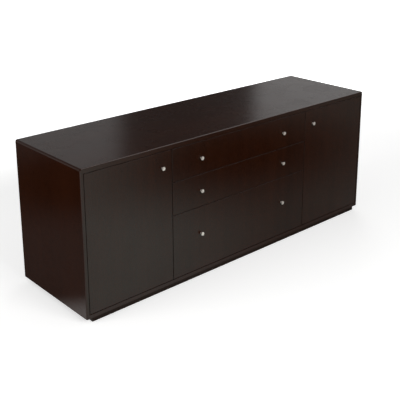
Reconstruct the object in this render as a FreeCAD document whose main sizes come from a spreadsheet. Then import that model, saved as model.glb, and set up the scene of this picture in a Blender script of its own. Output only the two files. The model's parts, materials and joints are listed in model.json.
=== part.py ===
"""Office credenza: a low cabinet with a door at each end and a bank of three drawers between them.

Row frame: X along the length, Y from front (-Y) to back (+Y), Z up from the floor, with the origin on
the floor under the middle of the object's box. Most pieces are drawn in the case frame, whose origin
is the front left corner on the floor, so that nearly every size in it is a positive number.
"""

import FreeCAD, Part
import math
import os
import re
import Sketcher

V = FreeCAD.Vector
DOC = FreeCAD.newDocument("office_credenza")

# Driving dimensions in millimetres: name, value, what it is.
SIZES = (
    ("width", 1829, "overall length, left to right"),
    ("depth", 515, "case depth, front edges to rear edges"),
    ("height", 692, "overall height"),
    ("side_thickness", 15, "end panels"),
    ("top_thickness", 22, "top panel"),
    ("bottom_thickness", 17, "bottom panel"),
    ("partition_thickness", 18, "upright partitions"),
    ("back_thickness", 6, "back panel"),
    ("back_rebate", 8, "how far the back panel reaches into each case panel"),
    ("back_recess", 2, "back panel in front of the case's rear edges"),
    ("edge_radius", 9, "rounding between the top and the ends"),
    ("arris_radius", 4.5, "rounding of the front outer arris"),
    ("plinth_height", 22, "floor to the underside of the case"),
    ("plinth_rail", 18, "thickness of the plinth rails"),
    ("plinth_side_setback", 30, "plinth behind each end panel's outer face"),
    ("plinth_front_setback", 4, "plinth behind the case's front edges"),
    ("plinth_rear_setback", 30, "plinth in front of the case's rear edges"),
    ("glide_lift", 1, "plinth rails above the floor"),
    ("glide_radius", 12, "pad of a levelling glide"),
    ("glide_pad", 5, "height of that pad"),
    ("glide_stem_radius", 4, "stem of a levelling glide"),
    ("glide_stem_gap", 1, "end of the stem below the case"),
    ("block_size", 56, "plinth corner block, square"),
    ("front_gap", 3, "gap round every door and drawer front"),
    ("front_thickness", 18, "doors and drawer fronts"),
    ("front_standoff", 2, "space behind the fronts, before the partitions"),
    ("front_round", 1, "rounding of the edges of the fronts"),
    ("door_width", 453, "each door"),
    ("shallow_front", 155, "height of the two shallow drawer fronts"),
    ("pivot_inset", 12, "pivot axis from the hinged edge of a door"),
    ("pivot_setback", 6, "pivot axis behind the front face"),
    ("pivot_radius", 2.5, "pivot pin"),
    ("pivot_collar", 4.2, "radius of the collar that carries a door"),
    ("plate_length", 40, "pivot plates, along X"),
    ("plate_width", 9, "pivot plates, along Y"),
    ("plate_thickness", 2.5, "pivot plates"),
    ("running_fit", 0.05, "radial clearance of a pin or screw in its hole"),
    ("running_gap", 0.3, "clearance between faces that move past each other"),
    ("knob_reach", 13, "how far a knob stands out of its front"),
    ("knob_face_radius", 8.5, "flat face of a knob"),
    ("knob_foot_radius", 4.6, "foot of a knob"),
    ("knob_waist_radius", 3.8, "narrowest place of a knob"),
    ("knob_waist", 4, "that place above the foot"),
    ("knob_rim", 2, "height of the band round a knob's face"),
    ("knob_edge", 0.6, "rounding of that band"),
    ("door_knob_inset", 55, "door knob from the free edge of the door"),
    ("door_knob_drop", 72, "door knob below the top edge of the door"),
    ("drawer_knob_inset", 167, "drawer knobs from the ends of their front"),
    ("file_knob_drop", 132, "file drawer knobs below the top edge of their front"),
    ("screw_radius", 2, "knob screw"),
    ("screw_bite", 7, "knob screw's length inside the knob"),
    ("screw_end_gap", 1, "end of that screw from the bottom of its hole"),
    ("screw_head_radius", 4.5, "knob screw's head"),
    ("screw_head", 2.2, "height of that head"),
    ("shelf_thickness", 18, "adjustable shelves"),
    ("shelf_setback", 24, "shelves behind the fronts"),
    ("shelf_play", 1, "shelves from the panels at their ends and back"),
    ("pin_row_setback", 60, "rows of shelf pin holes from the partition's front and rear edges"),
    ("pin_row_height", 322, "lowest shelf pin holes above the floor"),
    ("pin_pitch", 32, "spacing of shelf pin holes"),
    ("pin_count", 3, "holes in a row"),
    ("pin_used", 1, "which hole the shelf stands on, counted from 0"),
    ("pin_radius", 2.5, "shelf pin"),
    ("pin_hole_depth", 9, "shelf pin holes"),
    ("pin_end_gap", 1, "end of a shelf pin from the bottom of its hole"),
    ("pin_reach", 9, "shelf pin out of its hole"),
    ("pin_seat", 0.1, "shelf above its pins"),
    ("slide_clearance", 37, "space behind the closed drawer slides"),
    ("slide_height", 45, "height of a slide"),
    ("slide_thickness", 12.7, "partition to drawer side"),
    ("slide_gauge", 1.2, "sheet of the slide members"),
    ("slide_play", 0.4, "between neighbouring slide members"),
    ("box_board", 12, "drawer box sides, fronts and backs"),
    ("box_bottom", 6, "drawer bottoms"),
    ("box_bottom_rise", 9, "drawer bottoms above the lower edges of the box"),
    ("box_groove", 6, "depth of the groove that holds a drawer bottom"),
    ("box_lift", 24, "drawer boxes above the lower edges of their fronts"),
    ("box_headroom", 25, "drawer boxes below the upper edges of their fronts"),
    ("slide_rise", 53, "middle of a slide above the lower edge of its box"),
    ("file_rail_width", 3, "hanging file rails, front to back"),
    ("file_rail_height", 15, "hanging file rails"),
    ("file_rail_spacing", 317, "hanging file rails, apart"),
    ("file_rail_drop", 2, "hanging file rails below the top of the box"),
    ("catch_length", 40, "magnetic catches and their strike plates"),
    ("catch_depth", 16, "magnetic catches, front to back"),
    ("catch_height", 13, "magnetic catches"),
    ("strike_thickness", 1, "strike plates"),
    ("strike_margin", 1, "strike plates below the upper edges of the doors"),
    ("catch_inset", 110, "middle of a catch from the free edge of the door"),
    ("bumper_width", 6, "felt bumpers, along X"),
    ("bumper_height", 14, "felt bumpers"),
    ("bumper_inset", 4.6, "middle of a bumper from the middle of the partition's edge"),
    ("bumper_margin", 40, "bumpers from the upper and lower edges of the fronts"),
)

# Worked-out sizes, in the case frame, each in terms of the names above it.
WORKED_OUT = {
    "case_x": "-width / 2",
    "case_y": "(knob_reach - depth) / 2",
    "case_bottom": "plinth_height",
    "bay_bottom": "plinth_height + bottom_thickness",
    "bay_top": "height - top_thickness",
    "bay_back": "depth - back_recess - back_thickness",
    "back_low": "bay_bottom - back_rebate",
    "back_high": "bay_top + back_rebate",
    "back_left": "side_thickness - back_rebate",
    "back_right": "width - side_thickness + back_rebate",
    "inner_front": "front_thickness + front_standoff",
    "fronts_bottom": "bay_bottom + front_gap",
    "fronts_top": "bay_top - front_gap",
    "door_left": "side_thickness + front_gap",
    "door_right": "door_left + door_width",
    "partition_middle": "door_right + front_gap / 2",
    "partition_left": "partition_middle - partition_thickness / 2",
    "partition_right": "partition_middle + partition_thickness / 2",
    "pivot_x": "door_left + pivot_inset",
    "mitre": "edge_radius * (1 - sqrt(0.5))",
    "drawer_left": "door_right + front_gap",
    "box_left": "partition_right + slide_thickness",
    "slide_length": "bay_back - inner_front - slide_clearance",
    "box_back": "inner_front + slide_length",
    "drawer_knob_left": "drawer_left + drawer_knob_inset",
    "top_front_bottom": "fronts_top - shallow_front",
    "middle_front_top": "top_front_bottom - front_gap",
    "middle_front_bottom": "middle_front_top - shallow_front",
    "file_front_top": "middle_front_bottom - front_gap",
    "pin_height": "pin_row_height + pin_used * pin_pitch",
    "pin_front": "inner_front + pin_row_setback",
    "pin_rear": "bay_back - pin_row_setback",
    "shelf_bottom": "pin_height + pin_radius + pin_seat",
    "plate_left": "pivot_x - plate_width / 2",
    "plate_right": "plate_left + plate_length",
    "plate_front": "pivot_setback - plate_width / 2",
    "plate_back": "pivot_setback + plate_width / 2",
    "race_centre": "slide_thickness / 2",
    "race_rise": "slide_height / 2 - race_centre",
    "middle_race": "race_centre - slide_gauge - slide_play",
    "bead_radius": "middle_race - slide_gauge - slide_play",
}

SHEET = DOC.addObject("Spreadsheet::Sheet", "Sizes")
for row, (name, number, meaning) in enumerate(SIZES, start=1):
    SHEET.set(f"A{row}", meaning)
    SHEET.set(f"B{row}", str(number))
    SHEET.setAlias(f"B{row}", name)
DOC.recompute()

NAMES = {name for name, _, _ in SIZES}
SUB_PARTS = []
ALONG = {
    "x": FreeCAD.Rotation(V(0, 1, 0), 90),
    "y": FreeCAD.Rotation(V(1, 0, 0), -90),
    "z": FreeCAD.Rotation(),
}
CASE_ORIGIN = {"x": "case_x", "y": "case_y", "z": "0"}
PIVOT = ("pivot_x", "pivot_setback")
ALONG_SLIDE = ("inner_front", "inner_front + slide_length")
ORIGIN, H_AXIS, V_AXIS = -1, -1, -2
TINY = 0.01
OPEN_RACE, WRAPPED_RACE = 180, 200


# ---- Expressions ----------------------------------------------------------------------------------


def bound(text):
    """An expression in the sheet's cells, from one written in the names above."""

    def swap(match):
        word = match.group()
        if word in WORKED_OUT:
            return f"({bound(WORKED_OUT[word])})"
        return f"Sizes.{word}" if word in NAMES else word

    return re.sub(r"[a-z_]+", swap, text)


def value(text):
    """The number that such an expression comes to."""
    return float(SHEET.evalExpression(bound(text)))


def place(made, x="0", y="0", z="0"):
    """Puts an object at a place in the case frame."""
    for axis, text in (("x", x), ("y", y), ("z", z)):
        made.setExpression(f"Placement.Base.{axis}", bound(f"{CASE_ORIGIN[axis]} + {text}"))
    return made


def keep(made):
    """Lists an object as a sub-part. Its label names the node."""
    SUB_PARTS.append(made)
    return made


# ---- Primitives and booleans ----------------------------------------------------------------------


def box(label, x, y, z):
    """A box between pairs of planes, each given as (low, high) in the case frame."""
    made = DOC.addObject("Part::Box", label)
    for size, (low, high) in (("Length", x), ("Width", y), ("Height", z)):
        made.setExpression(size, bound(f"({high}) - ({low})"))
    return place(made, x[0], y[0], z[0])


def rod(label, axis, radius, length, x, y, z):
    """A cylinder that starts at a place in the case frame and runs along an axis."""
    made = DOC.addObject("Part::Cylinder", label)
    made.Placement = FreeCAD.Placement(V(), ALONG[axis])
    made.setExpression("Radius", bound(radius))
    made.setExpression("Height", bound(length))
    return place(made, x, y, z)


def group(label, *pieces):
    """Separate solids that share one node, or tools that cut together."""
    made = DOC.addObject("Part::Compound", label)
    made.Links = list(pieces)
    return made


def fuse(label, *pieces):
    """One solid from several that overlap or meet."""
    made = DOC.addObject("Part::MultiFuse", label)
    made.Shapes = list(pieces)
    made.Refine = True
    return made


def cut(label, base, *tools):
    """The base with the tools cut out of it."""
    made = DOC.addObject("Part::Cut", label)
    made.Base = base
    made.Tool = tools[0] if len(tools) == 1 else group(f"{label}_tools", *tools)
    return made


def mirror(label, source):
    """The same piece at the other end of the case."""
    made = DOC.addObject("Part::Mirroring", label)
    made.Source = source
    made.Base = V()
    made.Normal = V(1, 0, 0)
    return made


def pair(label, piece):
    """A piece and its mirror image as one node of two solids."""
    return group(label, piece, mirror(f"{label}_mirrored", piece))


# ---- Sketches and features ------------------------------------------------------------------------


def body(label, x="0", y="0", z="0", turn=FreeCAD.Rotation()):
    """An empty body at a place in the case frame."""
    made = DOC.addObject("PartDesign::Body", label)
    made.Placement = FreeCAD.Placement(V(), turn)
    return place(made, x, y, z)


def sketch(owner, name, role, offset="0"):
    """A sketch on one of a body's own origin planes, moved along the plane's normal."""
    made = owner.newObject("Sketcher::SketchObject", name)
    plane = next(f for f in owner.Origin.OriginFeatures if f.Role == role)
    made.AttachmentSupport = (plane, [""])
    made.MapMode = "FlatFace"
    made.setExpression("AttachmentOffset.Base.z", bound(offset))
    return made


def pin(drawn, point, x, y):
    """Holds a point of a sketch at a distance from the sketch's axes. None leaves that way free."""
    for kind, text, axis in (("DistanceX", x, V_AXIS), ("DistanceY", y, H_AXIS)):
        if text == "0":
            drawn.addConstraint(Sketcher.Constraint("PointOnObject", *point, axis))
        elif text is not None:
            rule = Sketcher.Constraint(kind, ORIGIN, 1, *point, value(text))
            drawn.setExpression(f"Constraints[{drawn.addConstraint(rule)}]", bound(text))


def outline(drawn, corners, arcs=()):
    """A closed outline. corners are (x, y) expressions, in order; a sketch can hold several outlines.

    arcs maps a side's number to (centre x, centre y, end, turn). The side runs from the corner of its
    number to the next. end is 0 or 1, for the end of the side whose height follows from the arc, and
    turn is 1 if the side runs anticlockwise.
    """
    arcs = dict(arcs)
    places = [V(value(x), value(y), 0) for x, y in corners]
    count = len(places)
    free = {(side + end) % count for side, (_, _, end, _) in arcs.items()}
    ends = []
    for side, start in enumerate(places):
        stop = places[(side + 1) % count]
        if side not in arcs:
            made = drawn.addGeometry(Part.LineSegment(start, stop), False)
            ends.append(((made, 1), (made, 2)))
            continue
        x, y, _, turn = arcs[side]
        centre = V(value(x), value(y), 0)
        first, last = (start, stop) if turn == 1 else (stop, start)
        angles = [math.atan2(p.y - centre.y, p.x - centre.x) for p in (first, last)]
        circle = Part.Circle(centre, V(0, 0, 1), (start - centre).Length)
        made = drawn.addGeometry(Part.ArcOfCircle(circle, *angles), False)
        ends.append(((made, 1), (made, 2)) if turn == 1 else ((made, 2), (made, 1)))
        pin(drawn, (made, 3), x, y)
    for side, (start, _) in enumerate(ends):
        drawn.addConstraint(Sketcher.Constraint("Coincident", *ends[side - 1][1], *start))
        x, y = corners[side]
        pin(drawn, start, x, None if side in free else y)


def circle(drawn, x, y, radius):
    """A circle with its centre and radius bound to the sheet."""
    made = drawn.addGeometry(Part.Circle(V(value(x), value(y), 0), V(0, 0, 1), value(radius)), False)
    pin(drawn, (made, 3), x, y)
    rule = drawn.addConstraint(Sketcher.Constraint("Radius", made, value(radius)))
    drawn.setExpression(f"Constraints[{rule}]", bound(radius))


def feature(owner, kind, name, profile, length, reverse=False):
    """A pad or pocket of a sketch."""
    made = owner.newObject(f"PartDesign::{kind}", name)
    made.Profile = profile
    made.Reversed = reverse
    made.setExpression("Length", bound(length))
    profile.Visibility = False
    return made


def cutting(owner, name, profile, length, reverse=False):
    """A pocket, which must take material away."""
    DOC.recompute()
    before = owner.Shape.Volume
    made = feature(owner, "Pocket", name, profile, length, reverse)
    DOC.recompute()
    if not owner.Shape.Volume < before:
        raise RuntimeError(f"{owner.Label}: {name} cuts nothing")
    return made


def round_edges(owner, name, radius, chosen):
    """Rounds the edges of a body's tip whose middle points pass a test."""
    DOC.recompute()
    base = owner.Tip
    edges = []
    for number, edge in enumerate(base.Shape.Edges, start=1):
        middle = edge.valueAt((edge.FirstParameter + edge.LastParameter) / 2)
        if chosen(edge, middle):
            edges.append(f"Edge{number}")
    made = owner.newObject("PartDesign::Fillet", name)
    made.Base = (base, edges)
    made.setExpression("Radius", bound(radius))
    return made


def lies_in_front(edge):
    """True for an edge that lies wholly in the front plane of the case frame."""
    return all(abs(vertex.Y) < 1e-6 for vertex in edge.Vertexes)


def rectangle(left, right, lower, upper):
    """The corners of a rectangle, for an outline."""
    return ((left, lower), (right, lower), (right, upper), (left, upper))


# ---- Case -----------------------------------------------------------------------------------------


def let_in_back(panel):
    """Cuts the rebate that the back panel sits in, with the back panel's own outline."""
    space = sketch(panel, f"{panel.Label}_rebate_outline", "XZ_Plane", "-depth")
    outline(space, rectangle("back_left", "back_right", "back_low", "back_high"))
    cutting(panel, f"{panel.Label}_rebate", space, "depth - bay_back", reverse=True)


def let_in_plates(panel, name, low, reverse):
    """Cuts the recesses for the two pivot plates into a panel's inner face, at the height low."""
    recess = sketch(panel, name, "XY_Plane", low)
    outline(recess, rectangle("plate_left", "plate_right", "plate_front", "plate_back"))
    outline(recess, rectangle("width - plate_right", "width - plate_left", "plate_front", "plate_back"))
    cutting(panel, f"{name}_cut", recess, "plate_thickness", reverse)


def top_panel():
    """The top: mitred to the ends, with the outer rounding shared half and half."""
    made = body("top_panel")
    drawn = sketch(made, "top_outline", "XZ_Plane")
    corners = (
        ("side_thickness", "bay_top"),
        ("width - side_thickness", "bay_top"),
        ("width - mitre", "height - mitre"),
        ("width - edge_radius", "height"),
        ("edge_radius", "height"),
        ("mitre", "height - mitre"),
    )
    arcs = {
        2: ("width - edge_radius", "height - edge_radius", 0, 1),
        4: ("edge_radius", "height - edge_radius", 1, 1),
    }
    outline(drawn, corners, arcs)
    feature(made, "Pad", "top_board", drawn, "depth", reverse=True)
    rim = value("height - mitre") - TINY
    round_edges(
        made, "top_arris", "arris_radius", lambda edge, middle: lies_in_front(edge) and middle.z > rim
    )
    let_in_back(made)
    let_in_plates(made, "top_plate_recess", "bay_top", True)
    return keep(made)


def end_panels():
    """The ends: a board with a quarter of rounding at the top, mitred, with two rows of pin holes."""
    made = body("left_side_panel")
    drawn = sketch(made, "side_outline", "XZ_Plane")
    corners = (
        ("0", "case_bottom"),
        ("side_thickness", "case_bottom"),
        ("side_thickness", "bay_top"),
        ("mitre", "height - mitre"),
        ("0", "height - edge_radius"),
    )
    outline(drawn, corners, {3: ("edge_radius", "height - edge_radius", 0, 1)})
    feature(made, "Pad", "side_board", drawn, "depth", reverse=True)
    rim, bottom = value("mitre"), value("case_bottom")
    round_edges(
        made,
        "side_arris",
        "arris_radius",
        lambda edge, middle: lies_in_front(edge) and middle.x < rim and middle.z > bottom + TINY,
    )
    let_in_back(made)
    pin_holes(made, "side_thickness", away=False)
    keep(made)
    keep(mirror("right_side_panel", made))


def pin_holes(panel, face, away):
    """Two rows of shelf pin holes in the face of a panel at x = face. away: the hole runs to +X."""
    drawn = sketch(panel, f"{panel.Label}_pin_outline", "YZ_Plane", face)
    for y in ("pin_front", "pin_rear"):
        circle(drawn, y, "pin_row_height", "pin_radius + running_fit")
    first = cutting(panel, f"{panel.Label}_pin_holes", drawn, "pin_hole_depth", reverse=away)
    row = panel.newObject("PartDesign::LinearPattern", f"{panel.Label}_pin_rows")
    row.Originals = [first]
    row.Direction = (drawn, ["V_Axis"])
    row.setExpression("Length", bound("pin_pitch * (pin_count - 1)"))
    row.setExpression("Occurrences", bound("pin_count"))
    panel.Tip = row


def partitions():
    """The uprights between the doors and the drawers, behind the fronts."""
    made = body("left_partition")
    drawn = sketch(made, "partition_outline", "XY_Plane", "bay_bottom")
    outline(drawn, rectangle("partition_left", "partition_right", "inner_front", "bay_back"))
    feature(made, "Pad", "partition_board", drawn, "bay_top - bay_bottom")
    pin_holes(made, "partition_left", away=True)
    keep(made)
    keep(mirror("right_partition", made))


def bottom_panel():
    """The bottom, between the ends, with its front edge in the plane of the fronts."""
    made = body("bottom_panel")
    drawn = sketch(made, "bottom_outline", "XZ_Plane")
    outline(drawn, rectangle("side_thickness", "width - side_thickness", "case_bottom", "bay_bottom"))
    feature(made, "Pad", "bottom_board", drawn, "depth", reverse=True)
    let_in_back(made)
    let_in_plates(made, "bottom_plate_recess", "bay_bottom", False)
    return keep(made)


def back_panel():
    """The back, in its rebates."""
    across, up = ("back_left", "back_right"), ("back_low", "back_high")
    return keep(box("back_panel", across, ("bay_back", "depth - back_recess"), up))


def plinth():
    """The recessed base: four rails, and blocks in its corners and middle for the levelling glides."""
    left, right = "plinth_side_setback", "width - plinth_side_setback"
    front, back = "plinth_front_setback", "depth - plinth_rear_setback"
    up = ("glide_lift", "case_bottom")
    keep(box("plinth_front_rail", (left, right), (front, f"{front} + plinth_rail"), up))
    keep(box("plinth_rear_rail", (left, right), (f"{back} - plinth_rail", back), up))
    inside = (f"{front} + plinth_rail", f"{back} - plinth_rail")
    end = box("plinth_left_rail", (left, f"{left} + plinth_rail"), inside, up)
    keep(pair("plinth_end_rails", end))
    rows = (("front", f"{inside[0]} + block_size / 2"), ("rear", f"{inside[1]} - block_size / 2"))
    corners = [foot(f"corner_{row}", f"{left} + plinth_rail + block_size / 2", y) for row, y in rows]
    middles = [foot(f"middle_{row}", "width / 2", y) for row, y in rows]
    for label, which in (("plinth_blocks", 0), ("levelling_glides", 1)):
        at_left = group(f"left_{label}", *(made[which] for made in corners))
        at_middle = [made[which] for made in middles]
        keep(group(label, at_left, mirror(f"right_{label}", at_left), *at_middle))


def foot(name, x, y):
    """A plinth block with the middle at (x, y), and the levelling glide that stands in its bore."""
    near, far = f"{x} - block_size / 2", f"{x} + block_size / 2"
    front, back = f"{y} - block_size / 2", f"{y} + block_size / 2"
    block = box(f"{name}_solid_block", (near, far), (front, back), ("glide_lift + glide_pad", "case_bottom"))
    bore = rod(f"{name}_bore", "z", "glide_stem_radius + running_fit", "case_bottom", x, y, "0")
    return cut(f"{name}_block", block, bore), glide(f"{name}_glide", x, y)


def glide(label, x, y):
    """A levelling glide: a round pad on a stem."""
    made = body(label, x, y)
    drawn = sketch(made, f"{label}_outline", "XZ_Plane")
    corners = (
        ("0", "0"),
        ("glide_radius", "0"),
        ("glide_radius", "glide_pad"),
        ("glide_stem_radius", "glide_pad"),
        ("glide_stem_radius", "case_bottom - glide_stem_gap"),
        ("0", "case_bottom - glide_stem_gap"),
    )
    outline(drawn, corners)
    turned(made, f"{label}_turned", drawn)
    return made


def turned(owner, name, profile):
    """A full turn of a sketch about its upright axis."""
    made = owner.newObject("PartDesign::Revolution", name)
    made.Profile = profile
    made.ReferenceAxis = (profile, ["V_Axis"])
    made.Angle = 360
    profile.Visibility = False
    return made


# ---- Inside the end cabinets ----------------------------------------------------------------------


def shelves():
    """An adjustable shelf on four pins in each end cabinet."""
    x = ("side_thickness + shelf_play", "partition_left - shelf_play")
    y = ("inner_front + shelf_setback", "bay_back - shelf_play")
    shelf = box("left_shelf", x, y, ("shelf_bottom", "shelf_bottom + shelf_thickness"))
    keep(shelf)
    keep(mirror("right_shelf", shelf))
    pins = []
    length = "pin_hole_depth - pin_end_gap + pin_reach"
    for side, start in (
        ("outer", "side_thickness - pin_hole_depth + pin_end_gap"),
        ("inner", "partition_left - pin_reach"),
    ):
        for row, y in (("front", "pin_front"), ("rear", "pin_rear")):
            pins.append(rod(f"{side}_{row}_pin", "x", "pin_radius", length, start, y, "pin_height"))
    keep(pair("shelf_pins", group("left_shelf_pins", *pins)))


def catches():
    """Magnetic catches under the top, with a strike plate on the back of each door."""
    middle = "door_right - catch_inset"
    x = (f"{middle} - catch_length / 2", f"{middle} + catch_length / 2")
    face = "front_thickness + strike_thickness"
    up = ("bay_top - catch_height", "fronts_top - strike_margin")
    strike = box("left_door_strike", x, ("front_thickness", face), up)
    keep(strike)
    keep(mirror("right_door_strike", strike))
    start = f"{face} + running_gap"
    catch = box("left_catch", x, (start, f"{start} + catch_depth"), ("bay_top - catch_height", "bay_top"))
    keep(pair("door_catches", catch))


def bumpers():
    """Felt stops on the front edges of the partitions, behind the doors and the drawer fronts."""
    door_side, drawer_side = "partition_middle - bumper_inset", "partition_middle + bumper_inset"
    spots = (
        (door_side, "fronts_bottom + bumper_margin"),
        (door_side, "fronts_top - bumper_margin"),
        (drawer_side, "top_front_bottom + bumper_margin"),
        (drawer_side, "middle_front_bottom + bumper_margin"),
        (drawer_side, "fronts_bottom + bumper_margin"),
    )
    deep = ("front_thickness + running_gap", "inner_front")
    stops = []
    for number, (x, z) in enumerate(spots):
        wide = (f"{x} - bumper_width / 2", f"{x} + bumper_width / 2")
        tall = (f"{z} - bumper_height / 2", f"{z} + bumper_height / 2")
        stops.append(box(f"bumper_{number}", wide, deep, tall))
    keep(pair("front_bumpers", group("left_bumpers", *stops)))


# ---- Pivots ---------------------------------------------------------------------------------------


def plate(label, low):
    """A pivot plate with its lower face at a height."""
    up = (low, f"{low} + plate_thickness")
    return box(label, ("plate_left", "plate_right"), ("plate_front", "plate_back"), up)


def case_plate(name, low):
    """A plate let into the case, bored for a door's pin."""
    solid = plate(f"{name}_case_plate", low)
    bore = rod(f"{name}_plate_bore", "z", "pivot_radius + running_fit", "plate_thickness", *PIVOT, low)
    return cut(f"{name}_bored_plate", solid, bore)


def pivot(name, low, pin_low, collar_low):
    """A plate let into a door, with the pin that turns in the case and the collar that spaces it."""
    half = "plate_thickness / 2"
    collar_length = f"{half} + front_gap - running_gap"
    leaf = plate(f"{name}_leaf", low)
    pin_length = f"{collar_length} + plate_thickness"
    shaft = rod(f"{name}_pin", "z", "pivot_radius", pin_length, *PIVOT, pin_low)
    collar = rod(f"{name}_collar", "z", "pivot_collar", collar_length, *PIVOT, collar_low)
    return fuse(f"{name}_pivot", leaf, shaft, collar)


def pivots():
    """Pivot plates in the case, and plates with a pin and a collar in the doors."""
    plates = group(
        "left_case_plates",
        case_plate("upper", "bay_top"),
        case_plate("lower", "bay_bottom - plate_thickness"),
    )
    keep(pair("door_pivot_plates", plates))
    upper_leaf, lower_leaf = "fronts_top - plate_thickness", "fronts_bottom"
    upper_pin = "fronts_top - plate_thickness / 2"
    lower_pin = "bay_bottom - plate_thickness + running_gap"
    left = group(
        "left_door_pivots",
        pivot("upper", upper_leaf, upper_pin, upper_pin),
        pivot("lower", lower_leaf, lower_pin, "bay_bottom + running_gap"),
    )
    keep(left)
    keep(mirror("right_door_pivots", left))


# ---- Knobs ----------------------------------------------------------------------------------------


def knob(label, x, z):
    """A flared knob, turned about its own axis, with a blind hole for its screw."""
    made = body(label, x, "0", z, FreeCAD.Rotation(V(1, 0, 0), 90))
    drawn = sketch(made, f"{label}_outline", "XZ_Plane")
    corners = (
        ("screw_radius + running_fit", "0"),
        ("knob_foot_radius", "0"),
        ("knob_waist_radius", "knob_waist"),
        ("knob_face_radius", "knob_reach - knob_rim"),
        ("knob_face_radius", "knob_reach - knob_edge"),
        ("knob_face_radius - knob_edge", "knob_reach"),
        ("0", "knob_reach"),
        ("0", "screw_bite + screw_end_gap"),
        ("screw_radius + running_fit", "screw_bite + screw_end_gap"),
    )
    outline(drawn, corners)
    turned(made, f"{label}_turned", drawn)
    return made


def knob_screw(label, x, z, grip):
    """The screw that holds a knob: a shank through the front and a head behind it."""
    shank = rod(f"{label}_shank", "y", "screw_radius", f"{grip} + screw_bite", x, "-screw_bite", z)
    head = rod(f"{label}_head", "y", "screw_head_radius", "screw_head", x, grip, z)
    return fuse(label, shank, head)


def knob_hole(label, x, z, grip):
    """The hole that a knob's screw passes through."""
    return rod(label, "y", "screw_radius + running_fit", grip, x, "0", z)


# ---- Doors ----------------------------------------------------------------------------------------


def front_slab(label, left, right, lower, upper):
    """A door or drawer front: a board with all the edges of its face rounded."""
    made = body(label)
    drawn = sketch(made, f"{label}_outline", "XZ_Plane")
    outline(drawn, rectangle(left, right, lower, upper))
    feature(made, "Pad", f"{label}_board", drawn, "front_thickness", reverse=True)
    round_edges(made, f"{label}_round", "front_round", lambda edge, middle: lies_in_front(edge))
    return made


def doors():
    """The left door with its knob, and the right one as its mirror image."""
    knob_x, knob_z = "door_right - door_knob_inset", "fronts_top - door_knob_drop"
    slab = front_slab("left_door_slab", "door_left", "door_right", "fronts_bottom", "fronts_top")
    panel = cut(
        "left_door_panel",
        slab,
        plate("upper_door_recess", "fronts_top - plate_thickness"),
        plate("lower_door_recess", "fronts_bottom"),
        knob_hole("left_door_knob_hole", knob_x, knob_z, "front_thickness"),
    )
    handle = knob("left_door_knob", knob_x, knob_z)
    screw = knob_screw("left_door_knob_screw", knob_x, knob_z, "front_thickness")
    for made in (panel, handle, screw):
        keep(made)
        keep(mirror(made.Label.replace("left", "right"), made))


# ---- Drawer slides --------------------------------------------------------------------------------


def race(label, outer, inner, sweep, start, middle):
    """Part of a rolled tube along a slide: the race that holds the next member, or runs in the last.

    sweep is the angle that it covers and start the angle where it starts, seen from the front, from
    the drawer's side. middle is the height of its centre line.
    """
    shells = []
    for name, radius in (("outer", outer), ("inner", inner)):
        made = DOC.addObject("Part::Cylinder", f"{label}_{name}")
        made.setExpression("Radius", bound(radius))
        made.setExpression("Height", bound("slide_length"))
        made.Angle = sweep
        turn = FreeCAD.Rotation(V(1, 0, 0), 90) * FreeCAD.Rotation(V(0, 0, 1), start)
        made.Placement = FreeCAD.Placement(V(), turn)
        shells.append(place(made, "partition_right + race_centre", "inner_front + slide_length", middle))
    return cut(label, *shells)


def slide_member(label, reach, sweep, web, middle):
    """One member of a slide: a web with a rolled race along its upper and lower edges.

    reach is the outer radius of its races, web the (low, high) of its web across the slide.
    """
    upper, lower = f"{middle} + race_rise", f"{middle} - race_rise"
    inner = f"{reach} - slide_gauge"
    over = race(f"{label}_upper_race", reach, inner, sweep, OPEN_RACE - sweep, upper)
    under = race(f"{label}_lower_race", reach, inner, sweep, OPEN_RACE, lower)
    sheet = box(f"{label}_web", web, ALONG_SLIDE, (lower, upper))
    return fuse(label, over, sheet, under)


def slides(drawer, middle):
    """The three nested members of a drawer's pair of slides."""
    near = "partition_right"
    cabinet_web = (near, f"{near} + slide_gauge")
    near = f"{cabinet_web[1]} + slide_play"
    middle_web = (near, f"{near} + slide_gauge")
    cabinet = slide_member(f"{drawer}_left_cabinet_member", "race_centre", OPEN_RACE, cabinet_web, middle)
    between = slide_member(f"{drawer}_left_middle_member", "middle_race", WRAPPED_RACE, middle_web, middle)
    keep(pair(f"{drawer}_cabinet_slides", cabinet))
    keep(pair(f"{drawer}_middle_slides", between))
    keep(pair(f"{drawer}_box_slides", drawer_member(drawer, middle)))


def drawer_member(drawer, middle):
    """The member on the drawer: a web on the box side, with a bead in each inner race."""
    axis = "partition_right + race_centre"
    face = "partition_right + slide_thickness"
    half = "(race_rise - slide_play)"
    tall = (f"{middle} - {half}", f"{middle} + {half}")
    pieces = [box(f"{drawer}_member_web", (f"{face} - slide_gauge", face), ALONG_SLIDE, tall)]
    leg = (f"{axis} - slide_gauge / 2", f"{axis} + slide_gauge / 2")
    for name, sign in (("upper", "+"), ("lower", "-")):
        centre = f"({middle} {sign} race_rise)"
        inner = f"({centre} {sign} -race_centre)"
        fold = f"({inner} {sign} slide_gauge)"
        stem = (inner, centre) if name == "upper" else (centre, inner)
        flange = (inner, fold) if name == "upper" else (fold, inner)
        bead = rod(f"{drawer}_{name}_bead", "y", "bead_radius", "slide_length", axis, "inner_front", centre)
        pieces.append(bead)
        pieces.append(box(f"{drawer}_{name}_leg", leg, ALONG_SLIDE, stem))
        pieces.append(box(f"{drawer}_{name}_flange", (leg[0], face), ALONG_SLIDE, flange))
    return fuse(f"{drawer}_left_box_member", *pieces)


# ---- Drawers --------------------------------------------------------------------------------------


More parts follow.
